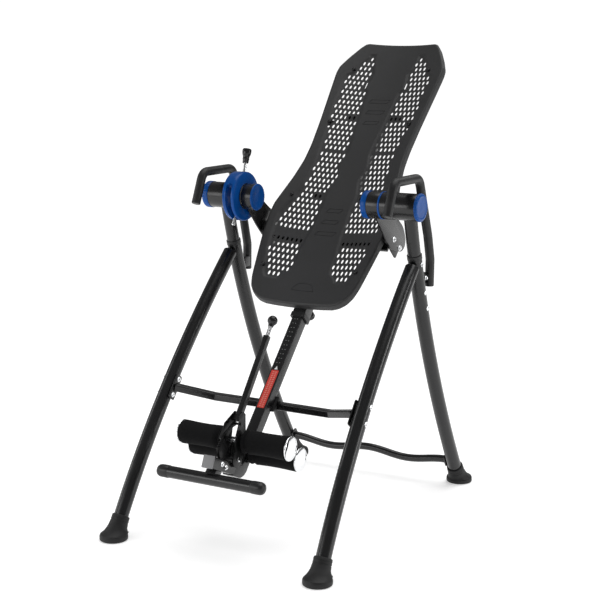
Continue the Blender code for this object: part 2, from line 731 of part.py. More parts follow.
def build_foot_bar(parent, paint, plastic):
    y, z = FOOT_BAR
    path = [(-FOOT_BAR_HALF, y, z), (FOOT_BAR_HALF, y, z)]
    bar = add_object("foot_bar", tube(path, FOOT_BAR_RADIUS, 0.0180, 20), parent, paint)
    drop = -BOOM_SIZE / 2 - FIT_GAP
    saddle = ((y + 0.0095, z - 0.0165), (stem_line(z - 0.0165, drop), z - 0.0165),
              (stem_line(z + 0.0165, drop), z + 0.0165), (y + 0.0095, z + 0.0165))
    combine(bar, add_cutter("foot_bar_saddle", plate(saddle, (-0.019, 0.019)), parent),
            "UNION")
    for label, side in SIDES:
        start = FOOT_BAR_HALF + FIT_GAP
        cap = [(start, 0), (start, FOOT_BAR_RADIUS), (start + 0.008, 0.0190),
               (start + 0.016, 0.0135), (start + 0.020, 0.0060), (start + 0.0205, 0)]
        add_object(f"foot_bar_cap_{label}",
                   moved(turned(mirrored(cap, side), 20), (0, y, z)), parent, plastic)


def roller_profile(start):
    """A foam sleeve, slightly waisted, with its bore clear of the axle."""
    end, bore, slim = ROLLER_END, AXLE_RADIUS + FIT_GAP, 0.0382
    middle = (start + end) / 2
    return [(start, bore), (start, 0.034), (start + 0.003, 0.0390),
            (start + 0.012, ROLLER_RADIUS), (middle - 0.03, slim + 0.0004),
            (middle, slim), (middle + 0.03, slim + 0.0004), (end - 0.012, ROLLER_RADIUS),
            (end - 0.003, 0.0390), (end, 0.034), (end, bore)]


CAP_PROFILE = ((0.0003, 0), (0.0003, ROLLER_RADIUS), (0.0035, ROLLER_RADIUS),
               (0.0060, 0.0370), (0.0075, 0.0200), (0.0080, 0))


def build_rollers(prefix, parent, centre, start, foam, chrome):
    for label, side in SIDES:
        sleeve = moved(turned(mirrored(roller_profile(start), side)), (0, *centre))
        add_object(f"{prefix}_roller_{label}", sleeve, parent, foam)
        cap = [(ROLLER_END + x, radius) for x, radius in CAP_PROFILE]
        add_object(f"{prefix}_roller_cap_{label}",
                   moved(turned(mirrored(cap, side)), (0, *centre)), parent, chrome)


def axle_mesh(centre):
    end = ROLLER_END
    return moved(turned([(-end, 0), (-end, AXLE_RADIUS), (end, AXLE_RADIUS), (end, 0)], 12),
                 (0, *centre))


def build_ratchet(parent, steel):
    """The toothed quadrant that stands on the stem and carries the lever's pivot pin."""
    py, pz = LEVER_PIVOT
    teeth = 6
    start, end = 70.0, 98.0
    step = (end - start) / teeth
    outline = [(py + 0.015 * math.cos(math.radians(a)), pz + 0.015 * math.sin(math.radians(a)))
               for a in (-115, -75, -35, 5, 40)]
    for index in range(teeth):
        root = math.radians(start + step * index)
        crest = math.radians(start + step * (index + 0.75))
        outline.append((py + 0.0865 * math.cos(root), pz + 0.0865 * math.sin(root)))
        outline.append((py + RATCHET_RADIUS * math.cos(crest),
                        pz + RATCHET_RADIUS * math.sin(crest)))
    lift = BOOM_SIZE / 2 + FIT_GAP
    outline.append((stem_line(-0.085, lift), -0.085))
    outline.append((stem_line(-0.160, lift), -0.160))
    quadrant = add_object("ratchet_quadrant", plate(outline, (-0.005, 0.005)), parent, steel)
    bore = moved(turned([(-0.02, 0), (-0.02, 0.0054), (0.02, 0.0054), (0.02, 0)], 12),
                 (0, py, pz))
    combine(quadrant, add_cutter("quadrant_bore", bore, parent), "DIFFERENCE")
    pin = moved(turned([(-0.036, 0), (-0.036, 0.0050), (0.036, 0.0050), (0.036, 0)], 12),
                (0, py, pz))
    add_object("lever_pivot_pin", pin, parent, steel)


# ---- the ankle lever --------------------------------------------------------------
def build_yoke(parent, paint):
    """Two cheeks joined by a block; they carry the front axle, the pawl and the lever."""
    boss = [(0.028 * math.cos(math.radians(a)), 0.028 * math.sin(math.radians(a)))
            for a in (60, 100, 140, 180, 220, 260, 290)]
    outline = boss + [(0.040, -0.018), (0.063, -0.014), (0.100, 0.008), (0.149, 0.0225),
                      (0.149, 0.0445), (0.126, 0.0560), (0.096, 0.0600), (0.062, 0.0560),
                      (0.040, 0.0470)]
    yoke = add_object("lever_yoke", plate(outline, (0.026, 0.030)), parent, paint)
    combine(yoke, add_cutter("left_cheek", plate(outline, (-0.030, -0.026)), parent), "UNION")
    block = box((-0.0265, 0.0265), (0.118, 0.1345), (LEVER_LINE - 0.010, LEVER_LINE + 0.010))
    combine(yoke, add_cutter("yoke_block", block, parent), "UNION")
    holes = (("yoke_pivot_bore", (0, 0), 0.0054),
             ("yoke_axle_bore", FRONT_AXLE, AXLE_RADIUS + FIT_GAP))
    for name, centre, radius in holes:
        bore = moved(turned([(-0.04, 0), (-0.04, radius), (0.04, radius), (0.04, 0)], 12),
                     (0, *centre))
        combine(yoke, add_cutter(name, bore, parent), "DIFFERENCE")
    channel = moved(box((-0.0072, 0.0072), (0.11, 0.16), (-0.0072, 0.0072)),
                    (0, 0, LEVER_LINE))
    combine(yoke, add_cutter("yoke_rod_hole", channel, parent), "DIFFERENCE")


def build_lever(parent, paint, black, chrome):
    half, bore = 0.010, 0.0080
    low, high = 0.1350, 0.4285

    def section(size, y):
        z = LEVER_LINE
        return ((-size, y, z + size), (size, y, z + size), (size, y, z - size),
                (-size, y, z - size))

    add_object("ankle_lever",
               box_tube(section(half, low), section(half, high),
                        section(bore, low), section(bore, high)),
               parent, paint)
    rod_path = [(0, 0.124, LEVER_LINE), (0, 0.470, LEVER_LINE)]
    add_object("release_rod", tube(rod_path, 0.0067, 0.0, 12), parent, chrome)
    count = 8
    knob = [(0.4704, 0), (0.4704, 0.0078)]
    for index in range(1, count + 1):
        angle = math.pi * (0.14 + 0.86 * index / count)
        knob.append((0.4875 - 0.017 * math.cos(angle), max(0.017 * math.sin(angle), 0)))
    ball = turned([(x, radius) for x, radius in knob], 20)
    turn = Matrix.Rotation(math.radians(90), 4, "Z")
    bmesh.ops.transform(ball, matrix=Matrix.Translation((0, 0, LEVER_LINE)) @ turn,
                        verts=ball.verts)
    add_object("ball_knob", ball, parent, black)


def build_pawl(parent, steel):
    """A curved arm on its own pin; its nose stands just clear of the quadrant's teeth."""
    inner = ((20, 0.1090), (26, 0.1040), (38, 0.0985), (50, 0.0985), (61, 0.0980))
    nose = ((66, 0.0925), (71, 0.0925), (73, 0.1010))
    outer = ((62, 0.1075), (48, 0.1095), (36, 0.1190), (28, 0.1235), (21, 0.1200))
    outline = []
    for angle, radius in inner + nose + outer:
        turn = math.radians(angle)
        outline.append((radius * math.cos(turn), radius * math.sin(turn)))
    pawl = add_object("pawl", plate(outline, (-0.005, 0.005)), parent, steel)
    pin = moved(turned([(-0.0255, 0), (-0.0255, 0.004), (0.0255, 0.004), (0.0255, 0)], 10),
                (0, *PAWL_PIN))
    combine(pawl, add_cutter("pawl_pin", pin, parent), "UNION")


def build():
    clear_scene()
    paint = make_material("black_paint", (0.018, 0.018, 0.020), 0.28)
    satin = make_material("satin_black_plastic", (0.040, 0.040, 0.042), 0.50)
    grip = make_material("black_grip", (0.030, 0.030, 0.032), 0.55)
    foam = make_material("black_foam", (0.020, 0.020, 0.021), 0.95)
    rubber = make_material("black_rubber", (0.025, 0.025, 0.026), 0.80)
    blue = make_material("blue_plastic", (0.010, 0.075, 0.290), 0.25)
    nylon = make_material("white_nylon", (0.80, 0.80, 0.77), 0.50)
    chrome = make_material("chrome", (0.85, 0.85, 0.86), 0.08, 1.0)
    steel = make_material("zinc_steel", (0.30, 0.30, 0.31), 0.35, 1.0)
    grey = make_material("grey_plastic", (0.25, 0.25, 0.26), 0.50)
    black = make_material("gloss_black_plastic", (0.012, 0.012, 0.013), 0.15)

    frame_axes = make_empty("frame_axes", None, (0, PIVOT_Y, 0))
    build_legs(frame_axes, paint)
    build_feet(frame_axes, rubber)
    build_front_stretcher(frame_axes, paint, rubber)
    build_rear_crossbar(frame_axes, paint)
    build_handles(frame_axes, grip)

    tilt_axis = make_empty("tilt_axis", frame_axes, (0, 0, PIVOT_HEIGHT))
    build_housings(tilt_axis, paint, blue, nylon)
    build_bearing_ring(tilt_axis, blue)
    build_selector_drum(tilt_axis, blue)
    build_selector_lever(tilt_axis, chrome, black)

    table_axes = make_empty("table_axes", tilt_axis, (0, 0, 0), 90.0 - TABLE_LEAN)
    build_inner_drums(table_axes, paint, blue)
    build_hinge_arms(table_axes, paint)
    build_pivot_beam(table_axes, paint)
    build_backrest_frame(table_axes, paint)
    build_spine_sleeve(table_axes, paint, satin)
    build_lock_pin(table_axes, black)
    build_backrest(table_axes, satin)

    build_boom(table_axes, paint, satin, grey)
    build_foot_bar(table_axes, paint, satin)
    build_ratchet(table_axes, steel)
    add_object("rear_axle", axle_mesh(REAR_AXLE), table_axes, steel)
    build_rollers("rear", table_axes, REAR_AXLE, 0.030, foam, chrome)

    lever_axes = make_empty("lever_axes", table_axes, (0, *LEVER_PIVOT), LEVER_TILT)
    build_yoke(lever_axes, paint)
    build_lever(lever_axes, paint, black, chrome)
    build_pawl(lever_axes, steel)
    add_object("front_axle", axle_mesh(FRONT_AXLE), lever_axes, steel)
    build_rollers("front", lever_axes, FRONT_AXLE, 0.042, foam, chrome)


build()
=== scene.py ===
"""Inversion table: the finished look of every piece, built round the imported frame.

The file is laid out as a Blender add-on and run as a script.  Each operator makes one
group of pieces; main() calls them in order.
"""

import math

import bmesh
import bpy
from bpy.props import FloatProperty, FloatVectorProperty, IntProperty, PointerProperty
from mathutils import Euler, Matrix, Vector


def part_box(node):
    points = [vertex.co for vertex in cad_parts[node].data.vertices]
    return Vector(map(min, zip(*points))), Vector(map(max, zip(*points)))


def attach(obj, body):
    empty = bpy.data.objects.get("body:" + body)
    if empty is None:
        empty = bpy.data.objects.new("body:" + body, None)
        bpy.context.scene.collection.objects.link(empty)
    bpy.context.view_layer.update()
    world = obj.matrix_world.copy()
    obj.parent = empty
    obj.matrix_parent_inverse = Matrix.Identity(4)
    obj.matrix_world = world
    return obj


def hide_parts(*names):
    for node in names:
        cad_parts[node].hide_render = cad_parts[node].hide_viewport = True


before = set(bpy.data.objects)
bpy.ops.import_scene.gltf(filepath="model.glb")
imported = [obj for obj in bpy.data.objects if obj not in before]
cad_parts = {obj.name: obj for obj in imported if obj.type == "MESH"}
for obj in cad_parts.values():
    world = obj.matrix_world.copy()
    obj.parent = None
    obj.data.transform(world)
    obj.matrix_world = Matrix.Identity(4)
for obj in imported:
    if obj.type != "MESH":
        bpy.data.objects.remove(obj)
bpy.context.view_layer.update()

bl_info = {
    "name": "Inversion table",
    "version": (1, 0, 0),
    "blender": (4, 5, 0),
    "location": "3D View > Sidebar > Inversion",
    "description": "Builds the visual model of a tubular inversion table",
    "category": "Add Mesh",
}

SIDES = (("left", -1), ("right", 1))
DEGREE = math.pi / 180


# ---- places: the axes that each group of pieces is modelled in -------------------------
def middle_of(node):
    low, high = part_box(node)
    return (Vector(low) + Vector(high)) / 2


TILT_AXIS = middle_of("outer_cap_right")
TABLE_PITCH = 47.3
LEVER_PIVOT = (-0.936, -0.146)
LEVER_PITCH = 5.3
LEVER_LINE = 0.0337
STEM_PITCH = 19.0
STEM_TOP = -0.951
BOOM_DEPTH = -0.2186
BOOM_HALF = 0.020


def turn_x(degrees):
    return Matrix.Rotation(math.radians(degrees), 4, "X")


FRAME_AXES = Matrix.Translation((0, TILT_AXIS.y, 0))
PIVOT_AXES = Matrix.Translation((0, TILT_AXIS.y, TILT_AXIS.z))
TABLE_AXES = PIVOT_AXES @ turn_x(TABLE_PITCH)
STEM_AXES = TABLE_AXES @ Matrix.Translation((0, STEM_TOP, BOOM_DEPTH + BOOM_HALF)) @ turn_x(
    STEM_PITCH)
LEVER_AXES = TABLE_AXES @ Matrix.Translation((0, *LEVER_PIVOT)) @ turn_x(LEVER_PITCH)


# ---- settings a user would change ------------------------------------------------------
class TubeSettings(bpy.types.PropertyGroup):
    """Sizes of the standing frame's tubes."""

    leg_radius: FloatProperty(name="Leg radius", description="Outer radius of the leg tubes",
                              default=0.025, unit="LENGTH")
    upright_radius: FloatProperty(name="Upright radius", default=0.0228, unit="LENGTH",
                                  description="Outer radius of the uprights in the legs")
    grip_radius: FloatProperty(name="Grip radius", description="Radius of the hand grips",
                               default=0.0158, unit="LENGTH")
    bar_size: FloatProperty(name="Stretcher size", default=0.025, unit="LENGTH",
                            description="Width of the square front stretcher")
    sides: IntProperty(name="Tube sides", description="Faces round each tube", default=48)


class BackrestSettings(bpy.types.PropertyGroup):
    """Sizes of the moulded backrest and its perforations."""

    wall: FloatProperty(name="Wall", description="Thickness of the moulded shell",
                        default=0.0036, unit="LENGTH")
    rim: FloatProperty(name="Rim radius", description="Radius of the rolled edge",
                       default=0.008, unit="LENGTH")
    skirt: FloatProperty(name="Skirt", description="Depth of the edge skirt",
                         default=0.028, unit="LENGTH")
    hole_width: FloatProperty(name="Hole width", description="Width of each perforation",
                              default=0.0094, unit="LENGTH")
    hole_length: FloatProperty(name="Hole length", description="Length of each perforation",
                               default=0.0185, unit="LENGTH")
    column_pitch: FloatProperty(name="Column pitch", default=0.0178, unit="LENGTH",
                                description="Distance between holes in a row")


class RollerSettings(bpy.types.PropertyGroup):
    """Sizes of the foam ankle rollers."""

    radius: FloatProperty(name="Foam radius", description="Largest radius of a roller",
                          default=0.0400, unit="LENGTH")
    waist: FloatProperty(name="Waist", description="Radius at the middle of a roller",
                         default=0.0376, unit="LENGTH")
    end: FloatProperty(name="Outer end", default=0.2035, unit="LENGTH",
                       description="Distance of the outer end from the middle")


class ColourSettings(bpy.types.PropertyGroup):
    """Main colours of the machine."""

    paint: FloatVectorProperty(name="Paint", description="Powder coat of the tubes",
                               subtype="COLOR", default=(0.0050, 0.0050, 0.0054))
    shell: FloatVectorProperty(name="Backrest", description="Moulded backrest plastic",
                               subtype="COLOR", default=(0.0215, 0.0215, 0.0222))
    accent: FloatVectorProperty(name="Accent", description="Pivot caps and selector drum",
                                subtype="COLOR", default=(0.0015, 0.0600, 0.2650))
    foam: FloatVectorProperty(name="Foam", description="Ankle rollers", subtype="COLOR",
                              default=(0.0045, 0.0045, 0.0048))
    label: FloatVectorProperty(name="Label", description="Label on the boom", subtype="COLOR",
                               default=(0.62, 0.045, 0.03))


class StageSettings(bpy.types.PropertyGroup):
    """Camera and light of the studio."""

    lens: FloatProperty(name="Lens", description="Focal length on a 36 mm sensor",
                        default=83.7, subtype="DISTANCE_CAMERA")
    key_power: FloatProperty(name="Key light", description="Power of the large side light",
                             default=44.0, unit="POWER")
    surround: FloatProperty(name="Surround", description="Brightness of the pale studio",
                            default=0.24)
    ceiling: FloatProperty(name="Ceiling", description="Strength of the soft overhead light",
                           default=1.75)
    floor_glow: FloatProperty(name="Floor glow", description="Light the floor gives back",
                              default=0.44)


class MachineSettings(bpy.types.PropertyGroup):
    """All settings of the machine."""

    tubes: PointerProperty(type=TubeSettings, name="Tubes", description="Frame tubes")
    backrest: PointerProperty(type=BackrestSettings, name="Backrest", description="Backrest")
    rollers: PointerProperty(type=RollerSettings, name="Rollers", description="Ankle rollers")
    colours: PointerProperty(type=ColourSettings, name="Colours", description="Colours")
    stage: PointerProperty(type=StageSettings, name="Stage", description="Camera and light")


# ---- node trees ------------------------------------------------------------------------
class Wire:
    """A number socket; arithmetic on it adds Math nodes to its tree."""

    def __init__(self, nodes, socket):
        self.nodes = nodes
        self.socket = socket

    def math(self, operation, *others):
        values = dict(enumerate((self, *others)))
        node = self.nodes.node("ShaderNodeMath", values, operation=operation)
        return Wire(self.nodes, node.outputs[0])

    def __add__(self, other):
        return self.math("ADD", other)

    def __radd__(self, other):
        return self.math("ADD", other)

    def __sub__(self, other):
        return self.math("SUBTRACT", other)

    def __rsub__(self, other):
        return self.math("MULTIPLY", -1.0).math("ADD", other)

    def __mul__(self, other):
        return self.math("MULTIPLY", other)

    def __rmul__(self, other):
        return self.math("MULTIPLY", other)

    def step(self, low, high):
        """0 below low, 1 above high, smooth between."""
        values = {"Value": self, "From Min": low, "From Max": high}
        node = self.nodes.node("ShaderNodeMapRange", values, interpolation_type="SMOOTHSTEP")
        return Wire(self.nodes, node.outputs["Result"])


class Nodes:
    """Adds nodes to a tree: settings first, then the values or links of the sockets."""

    def __init__(self, tree):
        self.tree = tree

    def node(self, kind, values=None, **settings):
        node = self.tree.nodes.new(kind)
        for name, value in settings.items():
            setattr(node, name, value)
        for key, value in (values or {}).items():
            self.feed(node.inputs[key], value)
        return node

    def feed(self, socket, value):
        """Link a wire or an output to a socket, or set the socket's own value."""
        if isinstance(value, Wire):
            value = value.socket
        if isinstance(value, bpy.types.NodeSocket):
            self.tree.links.new(value, socket)
        else:
            socket.default_value = value

    def wire(self, node, output=0):
        return Wire(self, node.outputs[output])


class Finish(Nodes):
    """A procedural material on object coordinates."""

    def __init__(self, name):
        self.material = bpy.data.materials.new(name)
        self.material.use_nodes = True
        super().__init__(self.material.node_tree)
        self.tree.nodes.clear()
        self.place = self.node("ShaderNodeTexCoord").outputs["Object"]

    def mapped(self, scale=(1, 1, 1), turn=(0, 0, 0), shift=(0, 0, 0)):
        values = {"Vector": self.place, "Scale": scale, "Rotation": turn, "Location": shift}
        return self.node("ShaderNodeMapping", values).outputs["Vector"]

    def noise(self, scale, detail=3.0, roughness=0.55, at=None, distortion=0.0):
        values = {"Vector": at or self.place, "Scale": scale, "Detail": detail,
                  "Roughness": roughness, "Distortion": distortion}
        return self.wire(self.node("ShaderNodeTexNoise", values), "Fac")

    def cells(self, scale):
        values = {"Vector": self.place, "Scale": scale}
        return self.wire(self.node("ShaderNodeTexVoronoi", values), "Distance")

    def mix(self, first, second, factor):
        node = self.node("ShaderNodeMix", {0: factor, 6: rgba(first), 7: rgba(second)},
                         data_type="RGBA")
        return node.outputs[2]

    def bump(self, height, strength, distance, under=None):
        values = {"Height": height, "Strength": strength, "Distance": distance}
        if under is not None:
            values["Normal"] = under
        return self.node("ShaderNodeBump", values).outputs["Normal"]

    def surface(self, **values):
        """Join the values to a Principled shader; names use _ for a space."""
        shader = self.node("ShaderNodeBsdfPrincipled")
        for name, value in values.items():
            self.feed(shader.inputs[name.replace("_", " ")], value)
        output = self.node("ShaderNodeOutputMaterial")
        self.tree.links.new(shader.outputs["BSDF"], output.inputs["Surface"])
        return self.material


def rgba(colour):
    if isinstance(colour, bpy.types.NodeSocket):
        return colour
    return (*tuple(colour)[:3], 1.0)


def shade(colour, factor):
    return tuple(min(1.0, part * factor) for part in colour)


def powder_coat(name, colour, gloss=0.20, shine=0.42):
    """Black powder coat: a faint orange peel and a slow change of gloss."""
    made = Finish(name)
    cloud = made.noise(7.0, 3.0)
    peel = made.noise(900.0, 2.0)
    base = made.mix(shade(colour, 0.80), shade(colour, 1.35), cloud.step(0.3, 0.7))
    rough = gloss + cloud * 0.07 + peel * 0.05
    normal = made.bump(peel, 0.22, 0.0004)
    return made.surface(Base_Color=base, Roughness=rough, Normal=normal, Coat_Weight=0.12,
                        Coat_Roughness=0.10, Specular_IOR_Level=shine)


def moulded(name, colour, rough=0.48, grain=1500.0, depth=0.35):
    """Injection-moulded plastic with a spark-eroded grain."""
    made = Finish(name)
    cloud = made.noise(5.0, 4.0)
    pits = made.cells(grain)
    fine = made.noise(grain * 1.7, 2.0)
    height = pits * 0.6 + fine * 0.4
    base = made.mix(shade(colour, 0.86), shade(colour, 1.16), (cloud * 0.7 + fine * 0.3))
    normal = made.bump(height, depth, 0.0003)
    gloss = rough + (cloud - 0.5) * 0.10 + (fine - 0.5) * 0.08
    return made.surface(Base_Color=base, Roughness=gloss, Normal=normal,
                        Specular_IOR_Level=0.40)


def glossy_plastic(name, colour, rough=0.16, shine=0.38):
    """Smooth coloured plastic with faint flow marks and hairline scuffs."""
    made = Finish(name)
    flow = made.noise(30.0, 3.0, distortion=0.6)
    scuff = made.noise(60.0, 6.0, 0.7, made.mapped((1, 14, 1), (0.4, 0.2, 0.7)))
    base = made.mix(shade(colour, 0.82), shade(colour, 1.22), flow)
    gloss = rough + scuff.step(0.55, 0.75) * 0.14 + flow * 0.04
    normal = made.bump(flow, 0.05, 0.0008)
    return made.surface(Base_Color=base, Roughness=gloss, Normal=normal,
                        Specular_IOR_Level=shine)


def polished_metal(name, colour, rough=0.06, scuffs=0.10):
    made = Finish(name)
    haze = made.noise(22.0, 4.0)
    lines = made.noise(240.0, 3.0, 0.6, made.mapped((1, 30, 1), (0.3, 0.1, 0.5)))
    gloss = rough + haze.step(0.45, 0.8) * scuffs * 0.5 + lines.step(0.6, 0.8) * scuffs
    base = made.mix(shade(colour, 0.93), colour, haze)
    normal = made.bump(lines, 0.03, 0.0003)
    return made.surface(Base_Color=base, Roughness=gloss, Metallic=1.0, Normal=normal)


def knurled_metal(name, colour):
    """Bright steel with a fine crossed knurl, along the lever's own direction; painted shade
    darkens its grooves.
    """
    made = Finish(name)
    pitch = math.radians(TABLE_PITCH + LEVER_PITCH)
    straight = made.mapped((1, 1, 1), (-pitch, 0, 0))
    node = made.node("ShaderNodeSeparateXYZ", {0: straight})
    across, along = made.wire(node, 0), made.wire(node, 1)
    first = ((along + across) * 2600.0).math("SINE")
    second = ((along - across) * 2600.0).math("SINE")
    knurl = first * second
    # Painted shade: the steel colour is darker where the knurl bump is low, in its grooves.
    dark = made.mix(shade(colour, 0.55), colour, knurl.step(-0.5, 0.7))
    normal = made.bump(knurl, 0.5, 0.0004)
    return made.surface(Base_Color=dark, Roughness=0.26, Metallic=1.0, Normal=normal)


def foam_rubber(name, colour):
    """Closed-cell foam: a fine skin of cells and soft dimples, painted darker in their hollows
    as shade and lighter on their raised parts as highlight.
    """
    made = Finish(name)
    cells = made.cells(650.0)
    dimples = made.noise(120.0, 4.0, 0.6)
    cloud = made.noise(14.0, 3.0)
    # Painted shade and highlight: the colour follows the bump heights, darker in cell pits and
    # dimples and lighter on raised parts; a random cloud adds a little.
    tone = cells * 0.5 + dimples * 0.5
    base = made.mix(shade(colour, 0.65), shade(colour, 1.9), tone * 0.7 + cloud * 0.3)
    first = made.bump(dimples, 0.55, 0.0012)
    normal = made.bump(cells, 0.75, 0.0006, first)
    return made.surface(Base_Color=base, Roughness=0.93, Normal=normal,
                        Specular_IOR_Level=0.15)


def soft_rubber(name, colour, rough=0.62):
    made = Finish(name)
    dust = made.noise(26.0, 5.0, 0.6)
    grain = made.noise(1100.0, 2.0)
    base = made.mix(shade(colour, 0.8), shade(colour, 1.7), dust.step(0.35, 0.8))
    normal = made.bump(grain, 0.3, 0.0004)
    return made.surface(Base_Color=base, Roughness=rough + dust * 0.14, Normal=normal,
                        Specular_IOR_Level=0.35)


def printed(name, colour):
    """Screen-printed ink: slightly uneven cover over a smooth film."""
    made = Finish(name)
    cover = made.noise(420.0, 3.0)
    base = made.mix(shade(colour, 0.80), shade(colour, 1.08), cover)
    return made.surface(Base_Color=base, Roughness=0.34 + cover * 0.08,
                        Normal=made.bump(cover, 0.08, 0.0002))


def make_finishes(colours):
    paint = tuple(colours.paint)
    return {
        "paint": powder_coat("black powder coat", paint),
        "arm": powder_coat("satin powder coat", paint, 0.36, 0.26),
        "shell": moulded("backrest plastic", tuple(colours.shell), 0.50, 1300.0, 0.30),
        "trim": moulded("trim plastic", (0.0085, 0.0085, 0.0090), 0.36),
        "grip": soft_rubber("grip skin", (0.0110, 0.0110, 0.0115), 0.36),
        "rubber": soft_rubber("boot rubber", (0.0085, 0.0085, 0.0088), 0.50),
        "foam": foam_rubber("roller foam", tuple(colours.foam)),
        "blue": glossy_plastic("blue plastic", tuple(colours.accent), 0.22, 0.20),
        "knob": glossy_plastic("black knob plastic", (0.008, 0.008, 0.009), 0.10),
        "grey": moulded("grey plug plastic", (0.20, 0.20, 0.205), 0.45),
        "nylon": moulded("nylon", (0.70, 0.69, 0.64), 0.40),
        "chrome": polished_metal("chrome", (0.86, 0.87, 0.88), 0.05, 0.05),
        "zinc": polished_metal("zinc plate", (0.52, 0.52, 0.53), 0.26, 0.20),
        "knurl": knurled_metal("knurled steel", (0.60, 0.60, 0.61)),
        "label": printed("label red", tuple(colours.label)),
        "ink": printed("white ink", (0.80, 0.80, 0.80)),
        "faded ink": printed("faded ink", (0.16, 0.16, 0.16)),
        "label ink": printed("label ink", (0.80, 0.30, 0.25)),
    }


FINISHES = {}


# ---- mesh helpers ----------------------------------------------------------------------
AXIS_REACH = 1e-6
CREASE = 35.0


def to_object(name, bm, finish, place=Matrix(), sharp=CREASE):
    """A finished object at the origin, its place in its mesh, its faces outward."""
    bmesh.ops.transform(bm, matrix=place, verts=bm.verts)
    bmesh.ops.recalc_face_normals(bm, faces=bm.faces)
    mesh = bpy.data.meshes.new(name)
    bm.to_mesh(mesh)
    bm.free()
    return mesh_object(name, mesh, finish, sharp)


def mesh_object(name, mesh, finish, sharp):
    mesh.shade_smooth()
    mesh.set_sharp_from_angle(angle=math.radians(sharp))
    mesh.materials.clear()
    mesh.materials.append(FINISHES[finish])
    item = bpy.data.objects.new(name, mesh)
    bpy.context.scene.collection.objects.link(item)
    return item


def piece(name, bm, body, finish, place, nodes=(), sharp=CREASE):
    """A piece that rides on a body and stands for the named nodes of the frame."""
    item = to_object(name, bm, finish, place, sharp)
    settle(item, body, nodes)
    return item


def settle(item, body, nodes=()):
    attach(item, body)
    if nodes:
        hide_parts(*nodes)


def circle(radius, sides, shift=0.0):
    steps = [2 * math.pi * (index + shift) / sides for index in range(sides)]
    return [(radius * math.cos(a), radius * math.sin(a)) for a in steps]


def corner_arc(before, corner, after, radius, steps, share=0.45):
    """A curve in place of a corner; it takes at most a share of either side."""
    back, ahead = before - corner, after - corner
    reach = min(radius, share * back.length, share * ahead.length)
    start = corner + back.normalized() * reach
    end = corner + ahead.normalized() * reach
    return [start * (1 - t) ** 2 + corner * 2 * t * (1 - t) + end * t * t
            for t in (step / steps for step in range(steps + 1))]


def rounded(points, radius, steps=4, on_axis=False):
    """A closed outline whose corners are arcs; on_axis leaves points on the axis alone."""
    made = []
    spots = [Vector(point) for point in points]
    for before, here, after in zip(spots[-1:] + spots, spots, spots[1:] + spots[:1]):
        if on_axis and here[1] <= AXIS_REACH:
            made.append(tuple(here))
        else:
            made += [tuple(spot) for spot in corner_arc(before, here, after, radius, steps)]
    return made


def soften(profile, radius=0.0008):
    """Round the corners of a closed (x, radius) profile, leaving points on the axis."""
    return rounded(profile, radius, 3, on_axis=True)


def rectangle(width, height, radius):
    half, tall = width / 2, height / 2
    return rounded([(-half, -tall), (half, -tall), (half, tall), (-half, tall)], radius)


def bend(corners, radius, steps=10):
    """An open polyline whose corners are arcs."""
    points = [Vector(corner) for corner in corners]
    path = [points[0]]
    for before, corner, after in zip(points, points[1:], points[2:]):
        half = (before - corner).angle(after - corner) / 2
        path += corner_arc(before, corner, after, radius / math.tan(half), steps, 0.48)
    return path + [points[-1]]


def skin(bm, rings, closed=False):
    pairs = list(zip(rings, rings[1:]))
    if closed:
        pairs.append((rings[-1], rings[0]))
    for first, second in pairs:
        count = len(first)
        for index in range(count):
            after = (index + 1) % count
            bm.faces.new((first[index], first[after], second[after], second[index]))


def loft(rings, closed=False):
    """A skin over rings of points: its ends meet, or each gets a face."""
    bm = bmesh.new()
    loops = [[bm.verts.new(point) for point in ring] for ring in rings]
    skin(bm, loops, closed)
    if not closed:
        bm.faces.new(loops[0])
        bm.faces.new(loops[-1])
    return bm


def stations(path, section, scales=None, closed=False, side=Vector((1, 0, 0))):
    """A section of (a, b) points at each point of a path; a starts along side."""
    points = [Vector(point) for point in path]
    count = len(points)
    rings = []
    for index, point in enumerate(points):
        if closed:
            along = points[(index + 1) % count] - points[index - 1]
        else:
            along = points[min(index + 1, count - 1)] - points[max(index - 1, 0)]
        along.normalize()
        side = (side - along * side.dot(along)).normalized()
        up = along.cross(side)
        scale = scales[index] if scales else 1.0
        rings.append([point + side * a * scale + up * b * scale for a, b in section])
    return rings


def sweep(path, section, scales=None, closed=False, side=Vector((1, 0, 0))):
    """Carry a section of (a, b) points along a path."""
    return loft(stations(path, section, scales, closed, side), closed)


def join(bm, other):
    """Add another bmesh's faces and free it."""
    mesh = bpy.data.meshes.new("joined")
    other.to_mesh(mesh)
    other.free()
    bm.from_mesh(mesh)
    bpy.data.meshes.remove(mesh)
    return bm


def hollow(path, outer, inner):
    """A tube with open ends and a wall; both sections have the same number of points."""
    return loft(stations(path, outer) + stations(path, inner)[::-1], closed=True)


def turned(profile, sides=72, side=1):
    """Turn a closed (x, radius) profile about the X axis."""
    bm = bmesh.new()
    rings = []
    for x, radius in profile:
        if radius <= AXIS_REACH:
            rings.append([bm.verts.new((side * x, 0, 0))])
        else:
            rings.append([bm.verts.new((side * x, a, b)) for a, b in circle(radius, sides)])
    for first, second in zip(rings, rings[1:] + rings[:1]):
        if len(first) == 1 and len(second) == 1:
            continue
        if len(first) > 1 and len(second) > 1:
            skin(bm, [first, second])
            continue
        centre, ring = (first[0], second) if len(first) == 1 else (second[0], first)
        for index in range(len(ring)):
            bm.faces.new((centre, ring[index], ring[(index + 1) % len(ring)]))
    return bm


def slab(outline, low, high, edge=0.0008):
    """Extrude an outline of (y, z) points from x = low to x = high, edges rounded."""
    bm = bmesh.new()
    face = bm.faces.new([bm.verts.new((low, y, z)) for y, z in outline])
    grown = bmesh.ops.extrude_face_region(bm, geom=[face])
    verts = [part for part in grown["geom"] if isinstance(part, bmesh.types.BMVert)]
    bmesh.ops.translate(bm, verts=verts, vec=(high - low, 0, 0))
    bmesh.ops.recalc_face_normals(bm, faces=bm.faces)
    return bevelled(bm, edge)


